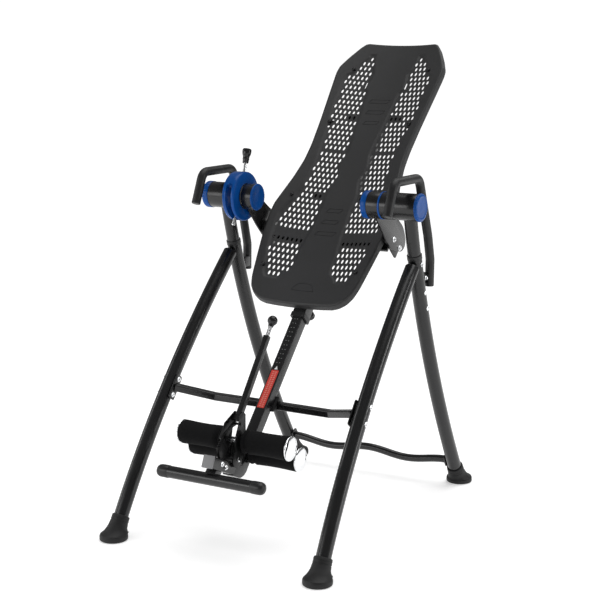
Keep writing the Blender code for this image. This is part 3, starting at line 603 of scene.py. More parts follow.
def bevelled(bm, width, segments=2, limit=50.0):
    if width <= 0:
        return bm
    sharp = [edge for edge in bm.edges
             if edge.is_manifold and edge.calc_face_angle(0) > math.radians(limit)]
    bmesh.ops.bevel(bm, geom=sharp, offset=width, segments=segments, profile=0.6,
                    affect="EDGES", clamp_overlap=True)
    return bm


def block(x, y, z, edge=0.001):
    """A box between three (low, high) pairs with rounded edges."""
    bm = bmesh.new()
    size = Vector((x[1] - x[0], y[1] - y[0], z[1] - z[0]))
    centre = Vector((x[0] + x[1], y[0] + y[1], z[0] + z[1])) / 2
    matrix = Matrix.Translation(centre) @ Matrix.Diagonal((*size, 1.0))
    bmesh.ops.create_cube(bm, size=1.0, matrix=matrix)
    return bevelled(bm, edge)


def span(side, near, far):
    """The low and high ends of a stretch of X on one side of the machine."""
    return sorted((side * near, side * far))


def moved(bm, matrix):
    bmesh.ops.transform(bm, matrix=matrix, verts=bm.verts)
    return bm


def carve(item, *cutters):
    """Cut closed shapes from an object and apply the result."""
    for index, cutter in enumerate(cutters):
        mesh = bpy.data.meshes.new("cutter")
        bmesh.ops.recalc_face_normals(cutter, faces=cutter.faces)
        cutter.to_mesh(mesh)
        cutter.free()
        tool = bpy.data.objects.new(f"cutter_{index}", mesh)
        bpy.context.scene.collection.objects.link(tool)
        modifier = item.modifiers.new("Cut", "BOOLEAN")
        modifier.operation = "DIFFERENCE"
        modifier.solver = "EXACT"
        modifier.object = tool
        bake_modifiers(item)
        bpy.data.objects.remove(tool, do_unlink=True)
        bpy.data.meshes.remove(mesh)
    item.data.set_sharp_from_angle(angle=math.radians(CREASE))
    return item


def bake_modifiers(item):
    """Put the evaluated shape in the object's own mesh and remove its modifiers."""
    graph = bpy.context.evaluated_depsgraph_get()
    graph.update()
    made = bpy.data.meshes.new_from_object(item.evaluated_get(graph), depsgraph=graph)
    old = item.data
    materials = list(old.materials)
    item.modifiers.clear()
    item.data = made
    made.materials.clear()
    for material in materials:
        made.materials.append(material)
    bpy.data.meshes.remove(old)


# ---- geometry node trees ---------------------------------------------------------------
def new_tree(name, inputs):
    """A geometry node group with named inputs; returns the tree, its nodes and inputs."""
    tree = bpy.data.node_groups.new(name, "GeometryNodeTree")
    tree.interface.new_socket("Geometry", in_out="INPUT", socket_type="NodeSocketGeometry")
    for label, kind, value in inputs:
        socket = tree.interface.new_socket(label, in_out="INPUT", socket_type=kind)
        if value is not None:
            socket.default_value = value
    tree.interface.new_socket("Geometry", in_out="OUTPUT", socket_type="NodeSocketGeometry")
    made = Nodes(tree)
    return made, made.node("NodeGroupInput").outputs


def close_tree(made, geometry, material):
    """End a tree: real geometry, one material, one output."""
    real = made.node("GeometryNodeRealizeInstances", {0: geometry}).outputs[0]
    coated = made.node("GeometryNodeSetMaterial", {"Geometry": real, "Material": material})
    made.node("NodeGroupOutput", {0: coated.outputs[0]})
    return made.tree


def run_tree(item, tree, values, finish, sharp=CREASE):
    """Run a tree on an object, keep the plain mesh and drop the modifier."""
    modifier = item.modifiers.new(tree.name, "NODES")
    modifier.node_group = tree
    for socket in tree.interface.items_tree:
        if socket.in_out == "INPUT" and socket.name in values:
            modifier[socket.identifier] = values[socket.name]
    bake_modifiers(item)
    item.data.materials.clear()
    item.data.materials.append(FINISHES[finish])
    item.data.shade_smooth()
    item.data.set_sharp_from_angle(angle=math.radians(sharp))
    return item


def fixing_tree():
    """Bolt heads on points: a washer, a six-sided head and a domed end."""
    made, given = new_tree("fixings", [
        ("Head Radius", "NodeSocketFloat", 0.0072),
        ("Head Height", "NodeSocketFloat", 0.0042),
        ("Washer Radius", "NodeSocketFloat", 0.0098),
        ("Washer Height", "NodeSocketFloat", 0.0014),
        ("Material", "NodeSocketMaterial", None),
    ])

    def can(radius, height, base, sides):
        shape = made.node("GeometryNodeMeshCylinder",
                          {"Vertices": sides, "Radius": radius, "Depth": height})
        lift = made.node("ShaderNodeCombineXYZ", {"Z": base + height * 0.5})
        return made.node("GeometryNodeTransform",
                         {"Geometry": shape.outputs["Mesh"],
                          "Translation": lift.outputs[0]}).outputs[0]

    head, tall = Wire(made, given["Head Radius"]), Wire(made, given["Head Height"])
    wide, thin = Wire(made, given["Washer Radius"]), Wire(made, given["Washer Height"])
    base = thin * 0.0
    dome = made.node("GeometryNodeMeshUVSphere",
                     {"Segments": 16, "Rings": 8, "Radius": head * 0.74})
    lift = made.node("ShaderNodeCombineXYZ", {"Z": thin + tall * 0.72})
    dome = made.node("GeometryNodeTransform",
                     {"Geometry": dome.outputs["Mesh"], "Translation": lift.outputs[0],
                      "Scale": (1.0, 1.0, 0.62)}).outputs[0]
    both = made.node("GeometryNodeJoinGeometry")
    for part in (can(wide, thin, base, 24), can(head, tall, thin, 6), dome):
        made.tree.links.new(part, both.inputs[0])
    facing = made.node("GeometryNodeInputNamedAttribute", {"Name": "facing"},
                       data_type="FLOAT_VECTOR").outputs[0]
    size = made.node("GeometryNodeInputNamedAttribute", {"Name": "size"},
                     data_type="FLOAT").outputs[0]
    turn = made.node("FunctionNodeAlignRotationToVector", {"Vector": facing}, axis="Z")
    points = made.node("GeometryNodeInstanceOnPoints",
                       {"Points": given["Geometry"], "Instance": both.outputs[0],
                        "Rotation": turn.outputs[0], "Scale": size})
    return close_tree(made, points.outputs[0], given["Material"])


def mark_tree():
    """Rows of small printed bars, laid out from a start point."""
    made, given = new_tree("printed marks", [
        ("Count", "NodeSocketInt", 11),
        ("Start", "NodeSocketVector", None),
        ("Pitch", "NodeSocketVector", None),
        ("Column", "NodeSocketVector", None),
        ("Bar", "NodeSocketVector", None),
        ("Material", "NodeSocketMaterial", None),
    ])
    row = made.node("GeometryNodeMeshLine", {"Count": given["Count"], "Offset": given["Pitch"],
                                             "Start Location": given["Start"]}).outputs[0]
    pair = made.node("GeometryNodeMeshLine", {"Count": 2, "Offset": given["Column"]})
    pairs = made.node("GeometryNodeInstanceOnPoints",
                      {"Points": row, "Instance": pair.outputs[0]}).outputs[0]
    spots = made.node("GeometryNodeRealizeInstances", {0: pairs}).outputs[0]
    bar = made.node("GeometryNodeMeshCube", {"Size": given["Bar"]}).outputs["Mesh"]
    marks = made.node("GeometryNodeInstanceOnPoints", {"Points": spots, "Instance": bar})
    return close_tree(made, marks.outputs[0], given["Material"])


def perforation_tree():
    """Cut long rounded holes at points, and shallow panels, through a shell."""
    made, given = new_tree("perforations", [
        ("Holes", "NodeSocketObject", None),
        ("Panels", "NodeSocketObject", None),
        ("Hole Size", "NodeSocketVector", None),
        ("Hole Sides", "NodeSocketInt", 12),
        ("Material", "NodeSocketMaterial", None),
    ])
    points = made.node("GeometryNodeObjectInfo", {"Object": given["Holes"]})
    panels = made.node("GeometryNodeObjectInfo", {"Object": given["Panels"]})
    pin = made.node("GeometryNodeMeshCylinder",
                    {"Vertices": given["Hole Sides"], "Radius": 0.5, "Depth": 1.0})
    holes = made.node("GeometryNodeInstanceOnPoints",
                      {"Points": points.outputs["Geometry"], "Instance": pin.outputs["Mesh"],
                       "Scale": given["Hole Size"]})
    real = made.node("GeometryNodeRealizeInstances", {0: holes.outputs[0]}).outputs[0]
    first = made.node("GeometryNodeMeshBoolean",
                      {"Mesh 1": given["Geometry"], "Mesh 2": real},
                      operation="DIFFERENCE", solver="MANIFOLD")
    second = made.node("GeometryNodeMeshBoolean",
                       {"Mesh 1": first.outputs[0], "Mesh 2": panels.outputs["Geometry"]},
                       operation="DIFFERENCE", solver="MANIFOLD")
    return close_tree(made, second.outputs[0], given["Material"])


def fixings(name, body, place, spots, finish="chrome", head=0.0072):
    """One piece that holds every bolt of a body: spots are (point, facing, size)."""
    mesh = bpy.data.meshes.new(name)
    turn = place.to_3x3()
    mesh.from_pydata([place @ Vector(spot[0]) for spot in spots], [], [])
    mesh.attributes.new("facing", "FLOAT_VECTOR", "POINT")
    mesh.attributes.new("size", "FLOAT", "POINT")
    for index, spot in enumerate(spots):
        mesh.attributes["facing"].data[index].vector = turn @ Vector(spot[1])
        mesh.attributes["size"].data[index].value = spot[2]
    item = bpy.data.objects.new(name, mesh)
    bpy.context.scene.collection.objects.link(item)
    values = {"Head Radius": head, "Head Height": head * 0.6, "Washer Radius": head * 1.32,
              "Washer Height": 0.0014, "Material": FINISHES[finish]}
    tree = bpy.data.node_groups.get("fixings") or fixing_tree()
    run_tree(item, tree, values, finish)
    settle(item, body)
    return item


# ---- the standing frame ----------------------------------------------------------------
FRONT_CURVE = (0.392, -0.028, -0.644, 0.537, 0.280)
REAR_CURVE = (0.357, 0.009, 0.515, -0.656, 0.191)

def leg_point(curve, side, z):
    x0, x1, y0, y1, y2 = curve
    return Vector((side * (x0 + x1 * z), y0 + y1 * z + y2 * z * z, z))


def leg_line(curve, side, low, high, steps=28):
    return [leg_point(curve, side, low + (high - low) * index / steps)
            for index in range(steps + 1)]


def domed_end(path, radius, depth):
    """Scales and extra points that close a tube's far end with a soft edge."""
    along = (path[-1] - path[-2]).normalized()
    scales = [1.0] * len(path)
    points = list(path)
    for angle in (25, 50, 75, 90):
        points.append(path[-1] + along * depth * math.sin(angle * DEGREE))
        scales.append(1.0 - (depth / radius) * (1.0 - math.cos(angle * DEGREE)))
    return points, scales


def soft_tube(path, radius, sides=48, depth=0.002):
    """A solid tube whose two ends have softened edges."""
    points, scales = domed_end([Vector(point) for point in path], radius, depth)
    back, scales_back = domed_end(points[::-1], radius, depth)
    scales = scales[::-1] + scales_back[len(points):]
    return sweep(back, circle(radius, sides), scales)


class LegsOperator(bpy.types.Operator):
    """Make the four legs and the two uprights, with their collars"""

    bl_idname = "inversion.legs"
    bl_label = "Legs"

    def execute(self, context):
        made = context.scene.inversion.tubes
        wide, slim, sides = made.leg_radius, made.upright_radius, made.sides
        for label, side in SIDES:
            rear = soft_tube(leg_line(REAR_CURVE, side, 0.018, 0.9205), wide, sides)
            piece(f"rear_leg_{label}_tube", rear, "frame", "paint", FRAME_AXES,
                  [f"rear_leg_{label}"])
            front = soft_tube(leg_line(FRONT_CURVE, side, 0.018, 0.885), wide, sides)
            piece(f"front_leg_{label}_tube", front, "frame", "paint", FRAME_AXES,
                  [f"front_leg_{label}"])
            upright = soft_tube(leg_line(REAR_CURVE, side, 0.74, 1.065, 12), slim, sides)
            piece(f"upright_{label}_tube", upright, "frame", "paint", FRAME_AXES,
                  [f"upright_{label}"])
            collar = hollow(leg_line(REAR_CURVE, side, 0.9145, 0.9290, 3),
                            circle(wide + 0.0012, sides), circle(slim - 0.001, sides))
            piece(f"leg_collar_{label}", bevelled(collar, 0.0008), "frame", "trim", FRAME_AXES)
        return {"FINISHED"}


class BootsOperator(bpy.types.Operator):
    """Make the four ribbed rubber boots"""

    bl_idname = "inversion.boots"
    bl_label = "Boots"

    def execute(self, context):
        rings = [(0.0004, 0.0420, 0.0), (0.0012, 0.0452, 0.0), (0.0035, 0.0476, 0.0),
                 (0.0060, 0.0481, 0.0), (0.0100, 0.0481, 0.0), (0.0148, 0.0480, 0.0),
                 (0.0175, 0.0472, 0.08), (0.0200, 0.0456, 0.15), (0.0245, 0.0418, 0.35),
                 (0.0300, 0.0374, 0.60), (0.0360, 0.0342, 0.82), (0.0420, 0.0322, 1.0),
                 (0.0500, 0.0312, 1.0)]
        for lift in (0.0530, 0.0610):
            rings += [(lift, 0.0309, 1.0), (lift + 0.0006, 0.0298, 1.0),
                      (lift + 0.0022, 0.0298, 1.0), (lift + 0.0028, 0.0307, 1.0)]
        rings += [(0.0705, 0.0303, 1.0), (0.0724, 0.0293, 1.0), (0.0730, 0.0276, 1.0),
                  (0.0726, 0.0252, 1.0)]
        level = Vector((0, 0, 1))
        for row, curve in (("front", FRONT_CURVE), ("rear", REAR_CURVE)):
            for label, side in SIDES:
                foot = leg_point(curve, side, 0.0)
                along = (leg_point(curve, side, 0.08) - foot).normalized()
                loops = []
                for height, radius, lean in rings:
                    normal = level.lerp(along, lean).normalized()
                    lift = level * height if height <= 0.02 else along * (height / along.z)
                    across = (Vector((1, 0, 0)) - normal * normal.x).normalized()
                    up = normal.cross(across)
                    loops.append([foot + lift + across * a + up * b
                                  for a, b in circle(radius, 64)])
                piece(f"{row}_boot_{label}", loft(loops), "frame", "rubber", FRAME_AXES,
                      [f"{row}_foot_{label}"], 30)
        return {"FINISHED"}


class StretcherOperator(bpy.types.Operator):
    """Make the bent square stretcher, its end plates and the boom's rubber stop"""

    bl_idname = "inversion.stretcher"
    bl_label = "Stretcher and rear bar"

    def execute(self, context):
        size = context.scene.inversion.tubes.bar_size
        middle, height = -0.264, 0.431
        corners = [(-0.3490, -0.334, 0.464), (-0.226, -0.266, height), (0, middle, height),
                   (0.226, -0.266, height), (0.3490, -0.334, 0.464)]
        section = rectangle(size, size, 0.0045)
        bar = sweep(bend(corners, 0.022, 5), section, side=Vector((0, 1, 0)))
        piece("stretcher_bar", bar, "frame", "paint", FRAME_AXES, ["front_stretcher"])
        for label, side in SIDES:
            outline = rectangle(0.034, 0.090, 0.008)
            low, high = span(side, 0.3475, 0.3520)
            plate = moved(slab(outline, low, high, 0.0010),
                          Matrix.Translation((0, -0.334, 0.464)) @ turn_x(-38.5))
            piece(f"stretcher_plate_{label}", plate, "frame", "paint", FRAME_AXES)
        edge, top, low = middle - size / 2 - 0.0005, height + size / 2 + 0.0005, 0.4185
        outline = [(edge, low), (edge, top), (middle + size / 2, top), (-0.2622, 0.4623),
                   (-0.3038, low)]
        stop = slab(outline, -0.028, 0.028, 0.0022)
        piece("boom_stop", stop, "frame", "rubber", FRAME_AXES, ["boom_bumper"])
        half, y, z, dip = 0.3270, 0.457, 0.097, 0.018
        path = []
        for index in range(97):
            across = index / 48 - 1
            path.append((half * across, y, z - dip * math.sin(math.pi * abs(across)) ** 2))
        bar = sweep(path, circle(0.0140, 40), side=Vector((0, 1, 0)))
        piece("rear_bar", bar, "frame", "paint", FRAME_AXES, ["rear_crossbar"])
        for label, side in SIDES:
            low, high = span(side, 0.3255, 0.3320)
            plate = moved(slab(rectangle(0.034, 0.048, 0.008), low, high, 0.0010),
                          Matrix.Translation((0, y, z)) @ turn_x(31.5))
            piece(f"rear_bar_plate_{label}", plate, "frame", "paint", FRAME_AXES)
        return {"FINISHED"}


class HandlesOperator(bpy.types.Operator):
    """Make the two bent hand grips, their end plugs and their fixing tabs"""

    bl_idname = "inversion.handles"
    bl_label = "Handles"

    def execute(self, context):
        radius = context.scene.inversion.tubes.grip_radius
        line = [(-0.1555, 1.0850), (-0.110, 1.190), (0.080, 1.190), (0.158, 0.985),
                (0.180, 0.900), (0.178, 0.808)]
        for label, side in SIDES:
            corners = [(side * 0.374, y, z) for y, z in line]
            path = bend(corners, 0.042, 14)
            grip = soft_tube(path, radius, 48, 0.003)
            piece(f"handle_{label}_grip", grip, "frame", "grip", FRAME_AXES,
                  [f"handle_{label}"])
            start, after = path[0], path[1]
            along = (after - start).normalized()
            ring = soft_tube([start + along * 0.0002, start + along * 0.0022], radius + 0.0004,
                             48, 0.0006)
            piece(f"handle_ring_{label}", ring, "frame", "trim", FRAME_AXES)
            low, high = span(side, 0.356, 0.372)
            tab = moved(slab(rectangle(0.034, 0.038, 0.007), low, high, 0.0012),
                        Matrix.Translation((0, 0.153, 0.837)))
            piece(f"handle_tab_{label}", tab, "frame", "paint", FRAME_AXES)
        return {"FINISHED"}


# ---- pieces round the tilt axis --------------------------------------------------------
DRUM_RADIUS, DRUM_BORE = 0.0460, 0.0435
BLUE_RADIUS = 0.0475
SHAFT_RADIUS, SHAFT_END = 0.0125, 0.4085
HOUSING_END, BUSH_END = 0.4145, 0.4115
SCALLOPS = 30
SELECTOR_SLOT = (-0.2975, -0.2745)
SLOT_REACH = (0.050, 0.095)
KNOB_ANGLE, PIN_ANGLE = 285, 118


def scalloped(bm, radius, count, depth, low, high):
    """Press shallow scallops into the rim of a turned piece."""
    for vert in bm.verts:
        far = math.hypot(vert.co.y, vert.co.z)
        if far > radius and low < abs(vert.co.x) < high:
            angle = math.atan2(vert.co.z, vert.co.y)
            dent = depth * max(0.0, math.cos(angle * count)) ** 2
            vert.co.y *= 1 - dent / far
            vert.co.z *= 1 - dent / far
    return bm


class HousingsOperator(bpy.types.Operator):
    """Make the fixed pivot housings, their bushes, blue caps and bearing ring"""

    bl_idname = "inversion.housings"
    bl_label = "Pivot housings"

    def execute(self, context):
        for label, side in SIDES:
            start = 0.2866 if side > 0 else 0.2630
            shell = [(start, DRUM_BORE), (start, DRUM_RADIUS), (HOUSING_END, DRUM_RADIUS),
                     (HOUSING_END, DRUM_BORE)]
            piece(f"housing_{label}", turned(soften(shell, 0.0010), 96, side), "frame",
                  "paint", PIVOT_AXES, [f"pivot_housing_{label}"])
            bush = [(start + 0.003, 0.0130), (start + 0.003, 0.0430), (BUSH_END, 0.0430),
                    (BUSH_END, 0.0130)]
            piece(f"bush_{label}", turned(soften(bush, 0.0008), 64, side), "frame", "nylon",
                  PIVOT_AXES, [f"pivot_bush_{label}"])
            skirt = 0.4147 if side > 0 else 0.4000
            cap = [(0.4147, 0), (0.4147, 0.0461), (skirt, 0.0462), (skirt + 0.0002, 0.0470),
                   (skirt + 0.0010, BLUE_RADIUS), (0.4180, 0.0478), (0.4205, 0.0476),
                   (0.4222, 0.0468), (0.4238, 0.0452), (0.4250, 0.0428),
                   (0.4258, 0.0400), (0.4261, 0.0372), (0.4252, 0.0358), (0.4250, 0.0340),
                   (0.4256, 0.0150), (0.4257, 0)]
            disc = scalloped(turned(cap, 240, side), 0.0425, SCALLOPS, 0.0015, 0.417, 0.4254)
            piece(f"blue_cap_{label}", disc, "frame", "blue", PIVOT_AXES,
                  [f"outer_cap_{label}"], 50)
        ring = [(0.2800, 0.0130), (0.2800, BLUE_RADIUS), (0.2860, BLUE_RADIUS),
                (0.2860, 0.0130)]
        piece("blue_ring", turned(soften(ring, 0.0012), 96), "frame", "blue", PIVOT_AXES,
              ["bearing_ring"])
        return {"FINISHED"}


def slot_cutter(x, radii, start, end, steps=40):
    """Part of a ring about X with rounded ends; angles run from +Y down through -Z."""
    loops = []
    middle, half = (x[0] + x[1]) / 2, abs(x[1] - x[0]) / 2
    reach = half / radii[1] / DEGREE
    for index in range(steps + 1):
        degrees = start + (end - start) * 0.5 * (1 - math.cos(math.pi * index / steps))
        inset = min(degrees - start, end - degrees) / reach
        width = half * math.sqrt(max(0.03, 1 - max(0.0, 1 - inset) ** 2))
        y, z = math.cos(degrees * DEGREE), -math.sin(degrees * DEGREE)
        places = [(middle - width, radii[0]), (middle + width, radii[0]),
                  (middle + width, radii[1]), (middle - width, radii[1])]
        loops.append([(across, y * out, z * out) for across, out in places])
    return loft(loops)


def spoke(profile, x, degrees, sides=32):
    """A piece turned about a line that leaves the tilt axis at an angle."""
    outward = Vector((0, math.cos(degrees * DEGREE), -math.sin(degrees * DEGREE)))
    across = Vector((1, 0, 0))
    turn = Matrix((outward, across, outward.cross(across))).transposed().to_4x4()
    return moved(turned(profile, sides), Matrix.Translation((x, 0, 0)) @ turn)


class SelectorOperator(bpy.types.Operator):
    """Make the tilt selector's slotted drum, its ring, rod, pin and knob"""

    bl_idname = "inversion.selector"
    bl_label = "Tilt selector"

    def execute(self, context):
        bore = 0.0464
        low, high = SELECTOR_SLOT
        profile = [(-0.312, bore), (-0.312, 0.0835), (-0.3105, 0.0858), (-0.308, 0.0870),
                   (-0.268, 0.0870), (-0.2655, 0.0858), (-0.264, 0.0835), (-0.264, bore),
                   (high, bore), (high, 0.0565), (low, 0.0565), (low, bore)]
        drum = turned(profile, 160)
        item = to_object("selector_case", drum, "blue", Matrix())
        cutters = [slot_cutter(SELECTOR_SLOT, SLOT_REACH, *angles)
                   for angles in ((108, 216), (277, 352))]
        cutters += [moved(turned([(-0.3160, 0), (-0.3160, 0.0042), (-0.3085, 0.0042),
                                  (-0.3085, 0)], 24),
                          Matrix.Translation((0, 0.066 * math.cos(a), 0.066 * math.sin(a))))
                    for a in (index * math.pi / 4 + 0.2 for index in range(8))]
        carve(item, *cutters)
        item.data.transform(PIVOT_AXES)
        settle(item, "frame", ["selector_drum"])
        middle = -0.2860
        hub = [(-0.2755, 0.0470), (-0.2755, 0.0555), (-0.2965, 0.0555), (-0.2965, 0.0470)]
        lever = turned(soften(hub, 0.0008), 96)
        rod = [(0.054, 0), (0.054, 0.0062), (0.1335, 0.0062), (0.1335, 0)]
        pin = [(0.054, 0), (0.054, 0.0064), (0.1095, 0.0064), (0.1115, 0.0058),
               (0.1122, 0.0040), (0.1122, 0)]
        join(lever, spoke(rod, middle, KNOB_ANGLE))
        join(lever, spoke(pin, middle, PIN_ANGLE))
        piece("selector_rod", lever, "selector", "chrome", PIVOT_AXES, ["selector_lever"])
        knob = [(0.118, 0.0069), (0.118, 0.0098), (0.1195, 0.0108), (0.130, 0.0114),
                (0.1335, 0.0126), (0.1360, 0.0118), (0.142, 0.0122), (0.148, 0.0146),
                (0.153, 0.0160), (0.160, 0.0166), (0.166, 0.0163), (0.1695, 0.0146),
                (0.1712, 0.0115), (0.1720, 0.0060), (0.1722, 0), (0.134, 0),
                (0.134, 0.0069)]
        piece("selector_knob_grip", spoke(knob, middle, KNOB_ANGLE, 48), "selector", "knob",
              PIVOT_AXES, ["selector_knob"])
        return {"FINISHED"}


class DrumsOperator(bpy.types.Operator):
    """Make the turning inner drums, their shafts and blue inner caps"""

    bl_idname = "inversion.drums"
    bl_label = "Turning drums"

    def execute(self, context):
        for label, side in SIDES:
            start, end = (0.2363, 0.2795) if side > 0 else (0.2196, 0.2595)
            web = end - 0.006
            drum = [(web, 0), (web, 0.0425), (start, 0.0425), (start, DRUM_RADIUS),
                    (end, DRUM_RADIUS), (end, SHAFT_RADIUS), (SHAFT_END, SHAFT_RADIUS),
                    (SHAFT_END, 0)]
            piece(f"drum_{label}", turned(soften(drum, 0.0008), 96, side), "table", "paint",
                  TABLE_AXES, [f"pivot_drum_{label}"])
            rim = start - 0.0003
            cap = [(rim, 0), (rim, 0.0470), (rim - 0.0008, BLUE_RADIUS),
                   (0.2178, BLUE_RADIUS), (0.2160, 0.0466), (0.2146, 0.0444),
                   (0.2141, 0.0410), (0.2140, 0.0372),
                   (0.2150, 0.0356), (0.2150, 0)]
            disc = scalloped(turned(cap, 240, side), 0.0425, SCALLOPS, 0.0010, 0.2142,
                             0.2165)
            piece(f"inner_blue_cap_{label}", disc, "table", "blue", TABLE_AXES,
                  [f"inner_cap_{label}"], 50)
        return {"FINISHED"}


# ---- the tilting table -----------------------------------------------------------------
class HingeOperator(bpy.types.Operator):
    """Make the hinge arms and the cross beam between them"""

    bl_idname = "inversion.hinge"
    bl_label = "Hinge arms and beam"

    def execute(self, context):
        outline = rounded([(-0.036, -0.020), (-0.045, -0.120), (-0.045, -0.200),
                           (-0.034, -0.224), (-0.006, -0.266), (0.010, -0.275),
                           (0.028, -0.276), (0.046, -0.263), (0.060, -0.238),
                           (0.067, -0.212), (0.064, -0.180), (0.056, -0.140),
                           (0.050, -0.100), (0.042, -0.020)], 0.012, 5)
        for label, side in SIDES:
            low, high = span(side, 0.2520, 0.2580)
            item = to_object(f"hinge_plate_{label}", slab(outline, low, high, 0.0014), "paint",
                             Matrix(), 40)
            hole = turned([(0.240, 0), (0.240, 0.0464), (0.270, 0.0464), (0.270, 0)], 96, side)
            carve(item, hole)
            item.data.transform(TABLE_AXES)
            settle(item, "table", [f"hinge_arm_{label}"])
        beam = block((-0.2500, 0.2500), (-0.060, -0.010), (-0.1930, -0.1810), 0.0030)
        piece("cross_beam", beam, "table", "paint", TABLE_AXES, ["pivot_beam"])
        for label, side in SIDES:
            low, high = span(side, 0.2465, 0.2516)
            outline = [(y - 0.019, z - 0.201) for y, z in rectangle(0.050, 0.110, 0.008)]
            bracket = slab(outline, low, high, 0.001)
            piece(f"beam_bracket_{label}", bracket, "table", "arm", TABLE_AXES)
        return {"FINISHED"}


# Half widths along the back, from its bottom edge for OUTLINE and from the tilt axis's
# level plus ALONG_SHIFT for the limits of the perforated bands.
FACE, DISH = -0.165, 0.5
BOTTOM_EDGE = -0.3215
ALONG_SHIFT = 0.1465
OUTLINE = (
    (0.000, 0.100), (0.000, 0.130), (0.007, 0.158), (0.022, 0.182), (0.048, 0.200),
    (0.085, 0.211), (0.170, 0.224), (0.270, 0.238), (0.345, 0.244), (0.400, 0.243),
    (0.450, 0.232), (0.530, 0.214), (0.610, 0.202), (0.680, 0.200), (0.790, 0.205),
    (0.930, 0.215), (1.030, 0.222), (1.062, 0.219), (1.110, 0.198), (1.165, 0.168),
    (1.186, 0.152), (1.192, 0.138), (1.192, 0.100),
)
OUTER_LIMIT = (
    (-0.38, 0.150), (-0.360, 0.165), (-0.331, 0.174), (-0.280, 0.180), (-0.254, 0.188),
    (-0.210, 0.193), (-0.150, 0.198), (-0.104, 0.198), (-0.081, 0.190), (-0.058, 0.182),
    (-0.032, 0.168), (-0.0106, 0.166), (0.0135, 0.158), (0.036, 0.152), (0.085, 0.150),
    (0.133, 0.146), (0.180, 0.148), (0.265, 0.155), (0.410, 0.168), (0.530, 0.1725),
    (0.560, 0.165), (0.576, 0.143), (0.6232, 0.127), (0.652, 0.106),
)
INNER_LIMIT = (
    (-0.380, 0.125), (-0.3576, 0.112), (-0.331, 0.088), (-0.280, 0.082), (-0.254, 0.086),
    (-0.230, 0.080), (-0.210, 0.078), (-0.150, 0.072), (-0.104, 0.072), (-0.081, 0.070),
    (-0.0584, 0.068), (-0.0106, 0.070), (0.0135, 0.068), (0.036, 0.062), (0.060, 0.056),
    (0.085, 0.055), (0.107, 0.062), (0.133, 0.067), (0.158, 0.062), (0.190, 0.055),
    (0.240, 0.056), (0.340, 0.065), (0.436, 0.071), (0.4837, 0.074), (0.500, 0.090),
    (0.540, 0.085), (0.576, 0.079), (0.600, 0.090), (0.640, 0.100),
)


def between(table, place):
    """Straight-line reading of a table of (place, value) pairs."""
    if place <= table[0][0]:
        return table[0][1]
    for (first, low), (second, high) in zip(table, table[1:]):
        if place <= second:
            return low + (high - low) * (place - first) / (second - first)
    return table[-1][1]


def smooth_step(value):
    value = min(1.0, max(0.0, value))
    return value * value * (3 - 2 * value)


def chaikin(points, rounds=3):
    """Round an open line by cutting its corners."""
    for _ in range(rounds):
        cut = [points[0]]
        for first, second in zip(points, points[1:]):
            cut.append(tuple(0.75 * a + 0.25 * b for a, b in zip(first, second)))
            cut.append(tuple(0.25 * a + 0.75 * b for a, b in zip(first, second)))
        points = cut + [points[-1]]
    return points


def even_steps(points, step):
    """The same line cut into equal short steps."""
    made, left = [points[0]], step
    for first, second in zip(points, points[1:]):
        a, b = Vector(first), Vector(second)
        length = (b - a).length
        while left <= length:
            made.append(tuple(a.lerp(b, left / length)))
            left += step
        left -= length
    return made


def face_depth(x):
    """Depth of the dished face at a distance from the middle."""
    return FACE + DISH * x * x


BAND_MARGIN, BAND_DEPTH, BAND_SLOPE = 0.011, 0.0030, 0.0055
BAND_ENDS = (-0.366, 0.658)
EDGE_SLACK = 0.0045
SLIT = (0.083, 0.517)


def band_depth(x, along):
    """How far the face sinks in the perforated bands."""
    place = along + BOTTOM_EDGE - ALONG_SHIFT
    wide, inner = between(OUTER_LIMIT, place), between(INNER_LIMIT, place)
    low, high = BAND_ENDS
    room = min(abs(x) - inner, wide - abs(x), high - place, place - low)
    return BAND_DEPTH * smooth_step((room + BAND_MARGIN) / BAND_SLOPE)


def hole_rows():
    """Centres of the perforations: rows along the back, alternate rows half a pitch over."""
    rows = []
    for start, pitch, count in ((0.64725, 0.02405, 19), (0.1817, 0.02385, 14),
                                (-0.2065, 0.0249, 7)):
        rows += [start - pitch * index for index in range(count)]
    rows.insert(33, -0.1515)
    return rows


def hole_centres(pitch):
    """Holes on one side as (across, along); the columns lean out towards the head."""
    centres = []
    for row, place in enumerate(hole_rows()):
        shift = 0.5 if row % 2 == 0 else 0.0
        line = 0.1365 + 0.043 * place + 0.045 * place * place
        wide, inner = between(OUTER_LIMIT, place), between(INNER_LIMIT, place)
        for step in range(-6, 7):
            x = line + (step + shift) * pitch
            inside = inner - EDGE_SLACK <= x <= wide + EDGE_SLACK
            if inside and not slit_room(x, place):
                centres.append((x, place))
    return centres


def slit_room(x, place):
    """The long slit at the inner edge takes the place of a few holes."""
    return abs(x - SLIT[0]) < 0.013 and abs(place - SLIT[1]) < 0.024


